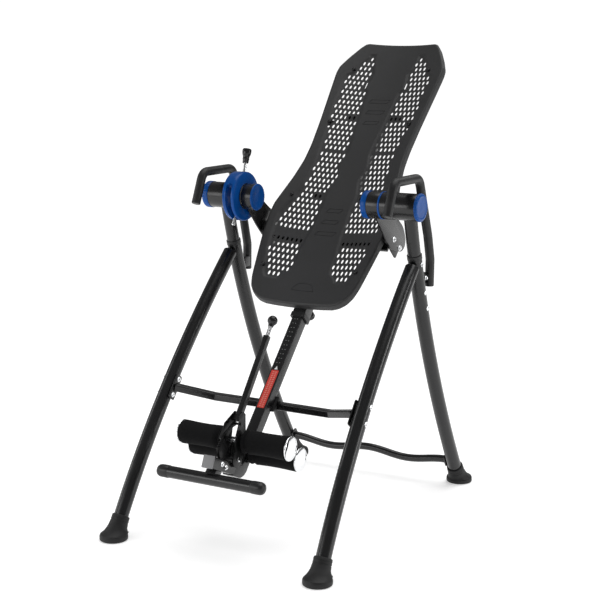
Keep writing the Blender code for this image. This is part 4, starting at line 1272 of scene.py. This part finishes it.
def shell_surface(skirt, rim, cell):
    """The shell's outer skin: a dished face, a rolled edge and a skirt."""
    corners = [(half, along) for along, half in OUTLINE]
    middles = [((a[0] + b[0]) / 2, (a[1] + b[1]) / 2) for a, b in zip(corners, corners[1:])]
    denser = [spot for pair in zip(corners, middles) for spot in pair] + corners[-1:]
    line = even_steps(chaikin(denser), cell)
    inset = []
    for index, point in enumerate(line):
        before, after = line[max(index - 1, 0)], line[min(index + 1, len(line) - 1)]
        run = (Vector(after) - Vector(before)).normalized()
        normal = Vector((run.y, -run.x))
        inset.append((Vector(point) - normal * rim, normal))
    rows = [inset[0]]
    for spot, normal in inset[1:]:
        if spot.y - rows[-1][0].y > 0.0006:
            rows.append((spot, normal))
    first, last = rows[0], rows[-1]
    rows[0], rows[-1] = (first[0], Vector((0, -1))), (last[0], Vector((0, 1)))
    columns = 2 * round(0.222 / cell)
    bm = bmesh.new()
    grid = []
    for spot, _ in rows:
        line = []
        for column in range(columns + 1):
            x = spot.x * (2 * column / columns - 1)
            depth = face_depth(x) - band_depth(x, spot.y)
            line.append(bm.verts.new((x, BOTTOM_EDGE + spot.y, depth)))
        grid.append(line)
    for low, high in zip(grid, grid[1:]):
        for index in range(columns):
            bm.faces.new((low[index], low[index + 1], high[index + 1], high[index]))
    loop = [(vert, Vector((0, -1))) for vert in grid[0][:-1]]
    loop += [(line[-1], normal) for line, (_, normal) in zip(grid[:-1], rows[:-1])]
    loop += [(vert, Vector((0, 1))) for vert in grid[-1][:0:-1]]
    loop += [(line[0], Vector((-normal.x, normal.y)))
             for line, (_, normal) in zip(grid[:0:-1], rows[:0:-1])]
    # The point where the lower edge meets the right edge looks round the corner.
    loop[columns] = (loop[columns][0], Vector((0.3, -1)).normalized())
    rings = [[vert for vert, _ in loop]]
    steps = [(rim * math.sin(a * DEGREE), rim * (1 - math.cos(a * DEGREE)))
             for a in (15, 30, 45, 60, 75, 90)]
    steps += [(rim + 0.0004, rim + 0.006), (rim + 0.0008, skirt * 0.75),
              (rim + 0.0010, skirt)]
    for out, down in steps:
        ring = []
        for vert, normal in loop:
            x, y = vert.co.x + normal.x * out, vert.co.y + normal.y * out
            ring.append(bm.verts.new((x, y, face_depth(x) - down)))
        rings.append(ring)
    skin(bm, rings)
    return bm


def flat_ring(outline, inner, low, high):
    """A closed band between two outlines of (x, y) points, from z = low to z = high."""
    walls = ((outline, low), (outline, high), (inner, high), (inner, low))
    return loft([[(x, y, depth) for x, y in shape] for shape, depth in walls], closed=True)


GROOVE_WIDTH, GROOVE_DEPTH = 0.0018, 0.0009


def panel_cutters():
    """Shallow grooves round the raised panels between the bands, and the two slits."""
    made = bmesh.new()

    def groove(points, radius, y, top):
        outer, inner = ([(x, y + v) for x, v in rounded(shape, radius)] for shape in points)
        join(made, flat_ring(outer, inner, FACE - GROOVE_DEPTH, FACE + top))

    for place, width in ((0.440, 0.079), (0.388, 0.070), (0.337, 0.057), (-0.069, 0.057),
                         (-0.119, 0.063), (-0.170, 0.075)):
        half, tall, slant = width / 2, 0.0088, 0.005
        groove([[(-h - slant, -t), (h - slant, -t), (h + slant, t), (-h + slant, t)]
                for h, t in ((half, tall), (half - GROOVE_WIDTH, tall - GROOVE_WIDTH))],
               0.003, place + ALONG_SHIFT, 0.004)
    groove([[(-0.044 - grow, -0.016 - grow), (0.044 + grow, -0.016 - grow),
             (0.038 + grow, 0.002), (0.024, 0.014 + grow), (0.0, 0.018 + grow),
             (-0.024, 0.014 + grow), (-0.038 - grow, 0.002)]
            for grow in (0.0, -GROOVE_WIDTH)], 0.004, -0.399 + ALONG_SHIFT, 0.005)
    for side in (-1, 1):
        slit = [(side * SLIT[0] + x, SLIT[1] + ALONG_SHIFT + v)
                for x, v in rectangle(0.006, 0.030, 0.0028)]
        join(made, loft([[(x, v, depth) for x, v in slit] for depth in (-0.19, -0.14)]))
    bmesh.ops.recalc_face_normals(made, faces=made.faces)
    return made


class BackrestOperator(bpy.types.Operator):
    """Make the moulded, perforated backrest shell"""

    bl_idname = "inversion.backrest"
    bl_label = "Backrest"

    def execute(self, context):
        size = context.scene.inversion.backrest
        surface = shell_surface(size.skirt, size.rim, 0.0046)
        bmesh.ops.remove_doubles(surface, verts=surface.verts, dist=0.0001)
        item = to_object("backrest_shell", surface, "shell", Matrix())
        wall = item.modifiers.new("Wall", "SOLIDIFY")
        wall.thickness = size.wall
        wall.offset = -1.0 if facing_up(item) else 1.0
        bake_modifiers(item)
        points = bpy.data.meshes.new("hole centres")
        spots = []
        for x, place in hole_centres(size.column_pitch):
            spots += [(side * x, place + ALONG_SHIFT, face_depth(x)) for side in (-1, 1)]
        points.from_pydata(spots, [], [])
        holes = bpy.data.objects.new("hole centres", points)
        panel_mesh = bpy.data.meshes.new("panel grooves")
        cutters = panel_cutters()
        cutters.to_mesh(panel_mesh)
        cutters.free()
        panels = bpy.data.objects.new("panel grooves", panel_mesh)
        for helper in (holes, panels):
            context.scene.collection.objects.link(helper)
        values = {"Holes": holes, "Panels": panels, "Hole Sides": 12,
                  "Hole Size": (size.hole_width, size.hole_length, 0.03),
                  "Material": FINISHES["shell"]}
        run_tree(item, perforation_tree(), values, "shell", 40)
        for helper in (holes, panels):
            bpy.data.objects.remove(helper, do_unlink=True)
        item.data.transform(TABLE_AXES)
        settle(item, "table", ["backrest"])
        return {"FINISHED"}


def facing_up(item):
    """Whether the shell's face points at the user."""
    faces = item.data.polygons
    return faces[len(faces) // 4].normal.z > 0


FRAME_LOOP = (
    (0.060, 0.026), (0.130, 0.026), (0.158, 0.035), (0.176, 0.056), (0.187, 0.088),
    (0.199, 0.170), (0.213, 0.270), (0.219, 0.345), (0.218, 0.400), (0.207, 0.450),
    (0.190, 0.530), (0.178, 0.610), (0.176, 0.680), (0.181, 0.790), (0.191, 0.930),
    (0.197, 1.015), (0.193, 1.052), (0.174, 1.098), (0.146, 1.146), (0.118, 1.163),
    (0.060, 1.163),
)
SCREW_SPOTS = ((0.157, 0.7335, 0.190), (0.165, 0.4745, 0.181), (0.190, 0.1265, 0.207),
               (0.187, -0.1835, 0.195))


class BackFrameOperator(bpy.types.Operator):
    """Make the bent tube behind the shell, with its tabs and feet"""

    bl_idname = "inversion.back_frame"
    bl_label = "Backrest frame"

    def execute(self, context):
        half = [(x, BOTTOM_EDGE + along) for x, along in FRAME_LOOP]
        loop = half + [(-x, y) for x, y in reversed(half)]
        loop = chaikin(loop + loop[:1], 2)[:-1]
        path = [(x, y, face_depth(x) - 0.0128) for x, y in loop]
        bm = sweep(path, circle(0.0068, 20), closed=True, side=Vector((0, 0, 1)))
        piece("back_tube", bm, "table", "paint", TABLE_AXES, ["backrest_frame"])
        made = bmesh.new()
        for x, y, reach in SCREW_SPOTS:
            for _, side in SIDES:
                low, high = span(side, x - 0.012, reach)
                depth = face_depth(x) - 0.0086
                join(made, block((low, high), (y - 0.012, y + 0.012), (depth - 0.004, depth)))
        for _, side in SIDES:
            low, high = span(side, 0.198, 0.218)
            join(made, block((low, high), (-0.052, -0.018), (-0.1808, -0.1570)))
        piece("back_tabs", made, "table", "arm", TABLE_AXES)
        return {"FINISHED"}


SLEEVE_SIZE = 0.049
LOCK_PLACE = -0.300
STUD_TURN = Matrix(((0, 1, 0), (0, 0, 1), (-1, 0, 0))).to_4x4()


class SleeveOperator(bpy.types.Operator):
    """Make the square sleeve behind the backrest, its collar, plates and lock pin"""

    bl_idname = "inversion.sleeve"
    bl_label = "Spine sleeve"

    def execute(self, context):
        line = [(0, -0.336, BOOM_DEPTH), (0, 0.56, BOOM_DEPTH)]
        bm = hollow(line, rectangle(SLEEVE_SIZE, SLEEVE_SIZE, 0.0050),
                    rectangle(0.0408, 0.0408, 0.0030))
        front, back = BOOM_DEPTH + SLEEVE_SIZE / 2, BOOM_DEPTH - SLEEVE_SIZE / 2
        piece("sleeve_tube", bm, "table", "paint", TABLE_AXES, ["spine_sleeve"])
        made = bmesh.new()
        for place in (0.147, 0.515):
            join(made, block((-0.020, 0.020), (place - 0.012, place + 0.012),
                             (front - 0.001, -0.1725)))
            join(made, block((-0.1175, 0.1175), (place - 0.0145, place + 0.0145),
                             (-0.1755, -0.1705), 0.0015))
        join(made, block((-0.022, 0.022), (-0.052, -0.018), (front - 0.001, -0.1934)))
        place = Matrix.Translation((0, LOCK_PLACE, back + 0.001))
        boss = [(0.0, 0.0056), (0.0, 0.012), (0.016, 0.012), (0.016, 0.0056)]
        join(made, moved(turned(soften(boss), 32), place @ STUD_TURN))
        piece("sleeve_lugs", made, "table", "arm", TABLE_AXES)
        line = [(0, -0.3535, BOOM_DEPTH), (0, -0.3364, BOOM_DEPTH)]
        bm = hollow(line, rectangle(0.0550, 0.0550, 0.0080), rectangle(0.0410, 0.0410, 0.0032))
        piece("collar", bevelled(bm, 0.0016, 3), "table", "trim", TABLE_AXES,
              ["sleeve_collar"])
        tip = BOOM_DEPTH - BOOM_HALF - 0.0004
        pin = [(0.0, 0), (0.0, 0.0050), (0.0225, 0.0050), (0.0225, 0.0130), (0.0265, 0.0160),
               (0.0420, 0.0160), (0.0460, 0.0120), (0.0460, 0)]
        knob = scalloped(turned(soften(pin, 0.0015), 96), 0.0140, 8, 0.0012, 0.024, 0.0440)
        place = Matrix.Translation((0, LOCK_PLACE, tip))
        piece("lock_knob", moved(knob, place @ STUD_TURN), "lock_pin", "knob", TABLE_AXES,
              ["height_lock_pin"])
        return {"FINISHED"}


# ---- the sliding boom and footrest -----------------------------------------------------
def stem_line(depth, offset=0.0):
    """The stem's centre line in the table's axes: y at a given depth."""
    slope = math.tan(STEM_PITCH * DEGREE)
    return (STEM_TOP - slope * (depth - BOOM_DEPTH - BOOM_HALF)
            + offset / math.cos(STEM_PITCH * DEGREE))


class BoomOperator(bpy.types.Operator):
    """Make the sliding boom, its printed marks and label, the stem and its plug"""

    bl_idname = "inversion.boom"
    bl_label = "Boom and stem"

    def execute(self, context):
        section = rectangle(0.040, 0.040, 0.0042)
        bm = loft([[(x, y, BOOM_DEPTH + z) for x, z in section] for y in (-0.020, -0.930)])
        piece("boom_tube", bm, "boom", "paint", TABLE_AXES, ["boom"])
        back = BOOM_DEPTH - BOOM_HALF
        outline = [(-0.925, back), (-0.938, back + 0.0008), (-0.950, back + 0.0045),
                   (-0.961, back + 0.0115), (-0.970, back + 0.0215), (-0.9755, back + 0.035),
                   (-0.9795, back + 0.050), (-0.9865, back + 0.070), (-0.946, back + 0.070),
                   (-0.931, back + 0.0400), (-0.925, back + 0.0400)]
        heel = slab(outline, -0.0202, 0.0202, 0.0030)
        piece("boom_heel", heel, "boom", "paint", TABLE_AXES)
        slope = math.tan(STEM_PITCH * DEGREE)
        bm = loft([[(x, y, 0.006 - y * slope) for x, y in section],
                   [(x, y, 0.1666) for x, y in section]])
        piece("stem_tube", bm, "boom", "paint", STEM_AXES, ["footrest_stem"])
        plug = block((-0.0208, 0.0208), (-0.0208, 0.0208), (0.1668, 0.1726), 0.0022)
        piece("stem_end_plug", plug, "boom", "grey", STEM_AXES, ["stem_plug"])
        self.prints(context)
        return {"FINISHED"}

    def prints(self, context):
        tree = mark_tree()
        face = BOOM_DEPTH + BOOM_HALF
        self.marks(context, tree, "height_marks", "faded ink", {
            "Count": 11, "Start": (-0.0062, -0.362, face), "Pitch": (0.0, -0.0178, 0.0),
            "Column": (0.0105, 0.0, 0.0), "Bar": (0.0046, 0.0026, PRINT_DEPTH)})
        label = slab(rounded([(-0.717, -0.0140), (-0.570, -0.0140), (-0.570, 0.0140),
                              (-0.717, 0.0140)], 0.0030), 0, LABEL_DEPTH, 0)
        arrow = slab([(-0.567, -0.0065), (-0.567, 0.0065), (-0.553, 0)], 0, PRINT_DEPTH, 0)
        for name, bm, finish in (("boom_label", label, "label"), ("boom_arrow", arrow, "ink")):
            item = to_object(name, moved(bm, FACE_ON_BOOM), finish, TABLE_AXES)
            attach(item, "boom")
        self.marks(context, tree, "label_print", "label ink", {
            "Count": 19, "Start": (-0.0044, -0.577, face + LABEL_DEPTH),
            "Pitch": (0.0, -0.0074, 0.0), "Column": (0.0098, 0.0, 0.0),
            "Bar": (0.0062, 0.0030, PRINT_DEPTH)})

    def marks(self, context, tree, name, finish, values):
        """Lay printed bars on the boom's front face."""
        item = bpy.data.objects.new(name, bpy.data.meshes.new(name))
        context.scene.collection.objects.link(item)
        run_tree(item, tree, {**values, "Material": FINISHES[finish]}, finish)
        item.data.transform(TABLE_AXES)
        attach(item, "boom")


LABEL_DEPTH, PRINT_DEPTH = 0.0002, 0.0003
# Puts a slab's (y, z) outline on the boom's front face as (along, across).
FACE_ON_BOOM = Matrix(((0, 0, 1, 0), (0, 1, 0, 0), (1, 0, 0, BOOM_DEPTH + BOOM_HALF),
                       (0, 0, 0, 1)))


class FootBarOperator(bpy.types.Operator):
    """Make the foot bar, its rounded caps and its saddle"""

    bl_idname = "inversion.foot_bar"
    bl_label = "Foot bar"

    def execute(self, context):
        y, z = -1.0437, -0.0875
        place = TABLE_AXES @ Matrix.Translation((0, y, z))
        bar = turned([(-0.183, 0), (-0.183, 0.020), (0.183, 0.020), (0.183, 0)], 64)
        piece("foot_bar_tube", bar, "boom", "paint", place, ["foot_bar"])
        for label, side in SIDES:
            cap = [(0.1580, 0.0195), (0.1583, 0.0206), (0.1595, 0.0210), (0.1800, 0.0210),
                   (0.1870, 0.0208), (0.1920, 0.0200), (0.1960, 0.0184), (0.1992, 0.0158),
                   (0.2016, 0.0120), (0.2032, 0.0070), (0.2038, 0.0), (0.1832, 0.0),
                   (0.1832, 0.0195)]
            piece(f"foot_cap_{label}", turned(cap, 64, side), "boom", "trim", place,
                  [f"foot_bar_cap_{label}"])
        drop = -BOOM_HALF - 0.0002
        outline = [(y + 0.0095, z - 0.0165), (stem_line(z - 0.0165, drop), z - 0.0165),
                   (stem_line(z + 0.0165, drop), z + 0.0165), (y + 0.0095, z + 0.0165)]
        piece("foot_bar_block", slab(outline, -0.019, 0.019, 0.0015), "boom", "paint",
              TABLE_AXES)
        return {"FINISHED"}


def roller_shape(start, end, radius, waist):
    """Foam sleeve outline as (x, radius): a grooved inner end, a waist, a soft outer end."""
    lip, shoulder, count = 0.009, 0.007, 14
    quarter = [math.sin(angle * DEGREE) for angle in range(0, 91, 15)]
    points = [(start + 0.0015, 0.0086)]
    points += [(start + lip * (1 - rise), radius - 0.0092 + lip * rise)
               for rise in reversed(quarter)]
    for index in range(1, count):
        t = index / count
        x = start + 0.010 + (end - start - 0.020) * t
        points.append((x, radius - (radius - waist) * math.sin(math.pi * t)))
    for angle in range(0, 91, 15):
        points.append((end - shoulder * (1 - math.sin(angle * DEGREE)),
                       radius - shoulder * (1 - math.cos(angle * DEGREE))))
    points.append((end, 0.0086))
    return points


class RollersOperator(bpy.types.Operator):
    """Make the foam ankle rollers, their axles and chrome caps"""

    bl_idname = "inversion.rollers"
    bl_label = "Ankle rollers"

    def execute(self, context):
        size = context.scene.inversion.rollers
        rear = TABLE_AXES @ Matrix.Translation((0, -0.870, BOOM_DEPTH))
        front = LEVER_AXES @ Matrix.Translation((0, 0.063, 0.0042))
        for row, place, body, start in (("rear", rear, "boom", 0.030),
                                        ("front", front, "lever", 0.042)):
            for label, side in SIDES:
                shape = roller_shape(start, size.end, size.radius, size.waist)
                foam = turned(shape, 96, side)
                item = piece(f"{row}_foam_{label}", foam, body, "foam", place,
                             [f"{row}_roller_{label}"], 60)
                cap = [(0.2043, 0), (0.2043, 0.0388), (0.2050, 0.0398), (0.2062, 0.0404),
                       (0.2076, 0.0403), (0.2088, 0.0394), (0.2096, 0.0378),
                       (0.2110, 0.0330), (0.2128, 0.0250), (0.2141, 0.0150),
                       (0.2147, 0.0070), (0.2149, 0)]
                piece(f"{row}_chrome_{label}", turned(cap, 128, side), body, "chrome", place,
                      [f"{row}_roller_cap_{label}"], 60)
            axle = [(-0.2040, 0), (-0.2040, 0.008), (0.2040, 0.008), (0.2040, 0)]
            piece(f"{row}_axle_bar", turned(axle, 32), body, "zinc", place, [f"{row}_axle"])
        return {"FINISHED"}


class ClampOperator(bpy.types.Operator):
    """Make the ratchet, yoke, ankle lever, release rod, ball knob and pawl"""

    bl_idname = "inversion.clamp"
    bl_label = "Ankle clamp"

    def execute(self, context):
        py, pz = LEVER_PIVOT
        outline = [(py + 0.015 * math.cos(a * DEGREE), pz + 0.015 * math.sin(a * DEGREE))
                   for a in (-115, -75, -35, 5, 40)]
        start, end, teeth = 70.0, 98.0, 6
        step = (end - start) / teeth
        for index in range(teeth):
            root, crest = start + step * index, start + step * (index + 0.75)
            for angle, radius in ((root, 0.0865), (crest, 0.0915)):
                outline.append((py + radius * math.cos(angle * DEGREE),
                                pz + radius * math.sin(angle * DEGREE)))
        lift = BOOM_HALF + 0.0004
        outline += [(stem_line(-0.085, lift), -0.085), (stem_line(-0.160, lift), -0.160)]
        piece("quadrant", slab(outline, -0.005, 0.005, 0.0007), "boom", "arm", TABLE_AXES,
              ["ratchet_quadrant"])
        pin = [(-0.0355, 0), (-0.0355, 0.0050), (0.0355, 0.0050), (0.0355, 0)]
        heads = [(0.0304, 0), (0.0304, 0.0088), (0.0345, 0.0088), (0.0358, 0.0070),
                 (0.0360, 0)]
        bm = turned(pin, 32)
        for side in (-1, 1):
            join(bm, turned(heads, 6, side))
        piece("clamp_pin", bm, "boom", "chrome",
              TABLE_AXES @ Matrix.Translation((0, *LEVER_PIVOT)), ["lever_pivot_pin"])
        self.yoke()
        self.lever()
        return {"FINISHED"}

    def yoke(self):
        boss = [(0.028 * math.cos(a * DEGREE), 0.028 * math.sin(a * DEGREE))
                for a in (60, 80, 100, 120, 140, 160, 180, 200, 220, 240, 260, 290)]
        outline = boss + rounded_tail([(0.040, -0.018), (0.063, -0.014), (0.100, 0.008),
                                       (0.149, 0.0225), (0.149, 0.0445), (0.126, 0.0560),
                                       (0.096, 0.0600), (0.062, 0.0560), (0.040, 0.0470)])
        bm = slab(outline, 0.026, 0.030, 0.0009)
        join(bm, slab(outline, -0.030, -0.026, 0.0009))
        join(bm, block((-0.0265, 0.0265), (0.118, 0.1345),
                       (LEVER_LINE - 0.010, LEVER_LINE + 0.010)))
        for side in (-1, 1):
            for centre, head in (((0.063, 0.0042), 0.0125), ((0.104, 0.046), 0.0065)):
                disc = [(0.0300, 0), (0.0300, head), (0.0322, head), (0.0328, head * 0.8),
                        (0.0330, 0)]
                join(bm, moved(turned(disc, 32, side), Matrix.Translation((0, *centre))))
        for vert in bm.verts:
            vert.co.x *= 1 - 0.45 * smooth_step((vert.co.y - 0.085) / 0.050)
        piece("yoke_cheeks", bm, "lever", "arm", LEVER_AXES, ["lever_yoke"])

    def lever(self):
        low, high = 0.1350, 0.4285
        line = [(0, low, LEVER_LINE), (0, high, LEVER_LINE)]
        bm = hollow(line, rectangle(0.0205, 0.0205, 0.0042), circle_section(0.0080, 20))
        piece("lever_tube", bm, "lever", "paint", LEVER_AXES, ["ankle_lever"])
        line = [(0, 0.124, LEVER_LINE), (0, 0.4705, LEVER_LINE)]
        rod = sweep(line, circle(0.0066, 32))
        piece("pull_rod", rod, "release", "knurl", LEVER_AXES, ["release_rod"])
        turn = Matrix.Translation((0, 0, LEVER_LINE)) @ Matrix.Rotation(math.pi / 2, 4, "Z")
        count = 24
        knob = [(0.4640, 0), (0.4640, 0.0082), (0.4660, 0.0094), (0.4700, 0.0096)]
        for index in range(1, count + 1):
            angle = math.pi * (0.20 + 0.80 * index / count)
            knob.append((0.4875 - 0.0172 * math.cos(angle),
                         max(0.0172 * math.sin(angle), 0.0)))
        knob[-1] = (knob[-1][0], 0.0)
        piece("ball", moved(turned(knob, 48), turn), "release", "knob", LEVER_AXES,
              ["ball_knob"], 50)
        shape = ((20, 0.1090), (26, 0.1040), (38, 0.0985), (50, 0.0985), (61, 0.0980),
                 (66, 0.0925), (71, 0.0925), (73, 0.1010), (62, 0.1075), (48, 0.1095),
                 (36, 0.1190), (28, 0.1235), (21, 0.1200))
        outline = [(r * math.cos(a * DEGREE), r * math.sin(a * DEGREE)) for a, r in shape]
        bm = slab(outline, -0.005, 0.005, 0.0007)
        pin = [(-0.0255, 0), (-0.0255, 0.004), (0.0255, 0.004), (0.0255, 0)]
        join(bm, moved(turned(pin, 24), Matrix.Translation((0, 0.104, 0.046))))
        piece("pawl_arm", bm, "pawl", "arm", LEVER_AXES, ["pawl"])


def circle_section(radius, count):
    """A round section with as many points as a four-cornered rounded rectangle."""
    return circle(radius, count, 0.5 * count / 4 + 0.5)


def rounded_tail(points):
    """Round the corners of an open run of points."""
    return [tuple(point) for point in bend(points, 0.010, 3)]


class FixingsOperator(bpy.types.Operator):
    """Put bolts on the frame, the table and the boom"""

    bl_idname = "inversion.fixings"
    bl_label = "Bolts and screws"

    def execute(self, context):
        spots = []
        for _, side in SIDES:
            out = (side, 0, 0)
            for z in (0.792, 0.734, 0.895):
                centre = leg_point(REAR_CURVE, side, z)
                radius = 0.025
                spots.append((centre + Vector((side * (radius - 0.0004), 0, 0)), out, 0.86))
            for lift in (-0.030, 0.030):
                place = Vector((side * 0.3474, -0.334 + lift * math.sin(38.5 * DEGREE),
                                0.464 + lift * math.cos(38.5 * DEGREE)))
                spots.append((place, (-side, 0, 0), 0.9))
                spots.append((leg_point(FRONT_CURVE, side, place.z)
                              + Vector((side * 0.0246, 0, 0)), out, 0.9))
            spots.append(((side * 0.3720, 0.153, 0.837), out, 1.0))
            spots.append(((side * 0.3254, 0.457, 0.097), (-side, 0, 0), 0.8))
        fixings("frame_bolts", "frame", FRAME_AXES, spots)
        spots = []
        for _, side in SIDES:
            for y, depth in ((-0.010, -0.186), (-0.006, -0.244)):
                spots.append(((side * 0.2580, y, depth), (side, 0, 0), 1.05))
                spots.append(((side * 0.2464, y, depth), (-side, 0, 0), 0.9))
        fixings("table_bolts", "table", TABLE_AXES, spots)
        spots = []
        for x, y, _ in SCREW_SPOTS:
            for _, side in SIDES:
                slope = Vector((-side * 2 * DISH * x, 0, 1)).normalized()
                spots.append(((side * x, y, face_depth(x) - 0.0012), slope, 0.72))
        fixings("panel_screws", "table", TABLE_AXES, spots, "knob", 0.0100)
        spots = []
        for _, side in SIDES:
            for y, depth in ((0.003, 0.117), (-0.004, 0.091)):
                spots.append(((side * 0.020, y, depth), (side, 0, 0), 0.85))
        fixings("stem_bolts", "boom", STEM_AXES, spots)
        return {"FINISHED"}


# ---- the studio ------------------------------------------------------------------------
class StageOperator(bpy.types.Operator):
    """Make the pale floor, the soft lights and the camera"""

    bl_idname = "inversion.stage"
    bl_label = "Studio"

    def execute(self, context):
        stage = context.scene.inversion.stage
        bm = bmesh.new()
        bmesh.ops.create_grid(bm, x_segments=1, y_segments=1, size=30.0)
        mesh = bpy.data.meshes.new("studio_floor")
        bm.to_mesh(mesh)
        bm.free()
        made = Finish("studio floor")
        cloud = made.noise(0.7, 2.0)
        tone = made.mix((0.86, 0.86, 0.86), (0.89, 0.89, 0.89), cloud)
        mesh.materials.append(made.surface(Base_Color=tone, Roughness=0.7,
                                           Emission_Color=(1, 1, 1, 1),
                                           Emission_Strength=stage.floor_glow))
        self.place(context, "studio_floor", mesh)
        middle = Vector((0, 0, 0.9))
        lights = (("key", (4.5, 1.1, 1.7), (0.5, 3.2), 1.0),
                  ("fill", (-4.0, -1.2, 1.9), (0.7, 3.0), 0.55),
                  ("front", (-2.5, -4.3, 1.75), (3.2, 1.8), 1.35),
                  ("back", (1.2, 4.2, 3.4), (2.6, 1.0), 0.35))
        for name, place, size, share in lights:
            light = bpy.data.lights.new(name, "AREA")
            light.shape = "RECTANGLE"
            light.size, light.size_y = size
            light.energy = stage.key_power * share
            turn = (middle - Vector(place)).to_track_quat("-Z", "Y").to_matrix().to_4x4()
            self.place(context, name, light, Matrix.Translation(place) @ turn)
        sun = bpy.data.lights.new("ceiling", "SUN")
        sun.energy = stage.ceiling
        sun.angle = 60 * DEGREE
        turn = Euler((-14 * DEGREE, 8 * DEGREE, 0)).to_matrix().to_4x4()
        self.place(context, "ceiling", sun, turn)
        world = bpy.data.worlds.new("pale studio")
        world.use_nodes = True
        sky = Nodes(world.node_tree)
        world.node_tree.nodes.clear()
        room = sky.node("ShaderNodeBackground", {"Color": (1, 1, 1, 1),
                                                 "Strength": stage.surround})
        wall = sky.node("ShaderNodeBackground", {"Color": (1, 1, 1, 1), "Strength": 1.05})
        seen = sky.node("ShaderNodeLightPath").outputs["Is Camera Ray"]
        both = sky.node("ShaderNodeMixShader", {0: seen, 1: room.outputs[0],
                                                2: wall.outputs[0]})
        sky.node("ShaderNodeOutputWorld", {"Surface": both.outputs[0]})
        context.scene.view_settings.view_transform = "Standard"
        context.scene.world = world
        camera = bpy.data.cameras.new("camera")
        camera.lens = stage.lens
        camera.sensor_width = 36.0
        right, up = Vector((0.8655, 0.5009, 0)), Vector((-0.0926, 0.1600, 0.9827))
        back = right.cross(up).normalized()
        right = up.cross(back).normalized()
        turn = Matrix((right, up.normalized(), back)).transposed().to_4x4()
        spot = Matrix.Translation((2.379, -4.185 + TILT_AXIS.y, 1.655))
        context.scene.camera = self.place(context, "camera", camera, spot @ turn)
        return {"FINISHED"}

    def place(self, context, name, data, matrix=Matrix()):
        """Put a part of the studio in the scene."""
        item = bpy.data.objects.new(name, data)
        item.matrix_world = matrix
        context.scene.collection.objects.link(item)
        return item


# ---- the panel -------------------------------------------------------------------------
OPERATORS = (LegsOperator, BootsOperator, StretcherOperator, HandlesOperator,
             HousingsOperator, SelectorOperator, DrumsOperator, HingeOperator,
             BackrestOperator, BackFrameOperator, SleeveOperator, BoomOperator,
             FootBarOperator, RollersOperator, ClampOperator, FixingsOperator,
             StageOperator)
SETTINGS = (TubeSettings, BackrestSettings, RollerSettings, ColourSettings, StageSettings,
            MachineSettings)


class InversionPanel(bpy.types.Panel):
    """Lists the operators in the order they are run"""

    bl_idname = "VIEW3D_PT_inversion"
    bl_label = "Inversion table"
    bl_space_type = "VIEW_3D"
    bl_region_type = "UI"
    bl_category = "Inversion"

    def draw(self, context):
        for operator in OPERATORS:
            self.layout.operator(operator.bl_idname)
        settings = context.scene.inversion
        for group in (settings.tubes, settings.backrest, settings.rollers, settings.colours,
                      settings.stage):
            column = self.layout.column(align=True)
            for name in group.__annotations__:
                column.prop(group, name)


def register():
    for item in (*SETTINGS, *OPERATORS, InversionPanel):
        bpy.utils.register_class(item)
    bpy.types.Scene.inversion = PointerProperty(type=MachineSettings, name="Inversion table",
                                                description="Settings of the machine")


def unregister():
    del bpy.types.Scene.inversion
    for item in (InversionPanel, *reversed(OPERATORS), *reversed(SETTINGS)):
        bpy.utils.unregister_class(item)


def main():
    register()
    FINISHES.update(make_finishes(bpy.context.scene.inversion.colours))
    for operator in OPERATORS:
        group, name = operator.bl_idname.split(".")
        outcome = getattr(getattr(bpy.ops, group), name)()
        if "FINISHED" not in outcome:
            raise RuntimeError(f"{operator.bl_label} didn't finish")


if __name__ == "__main__":
    main()
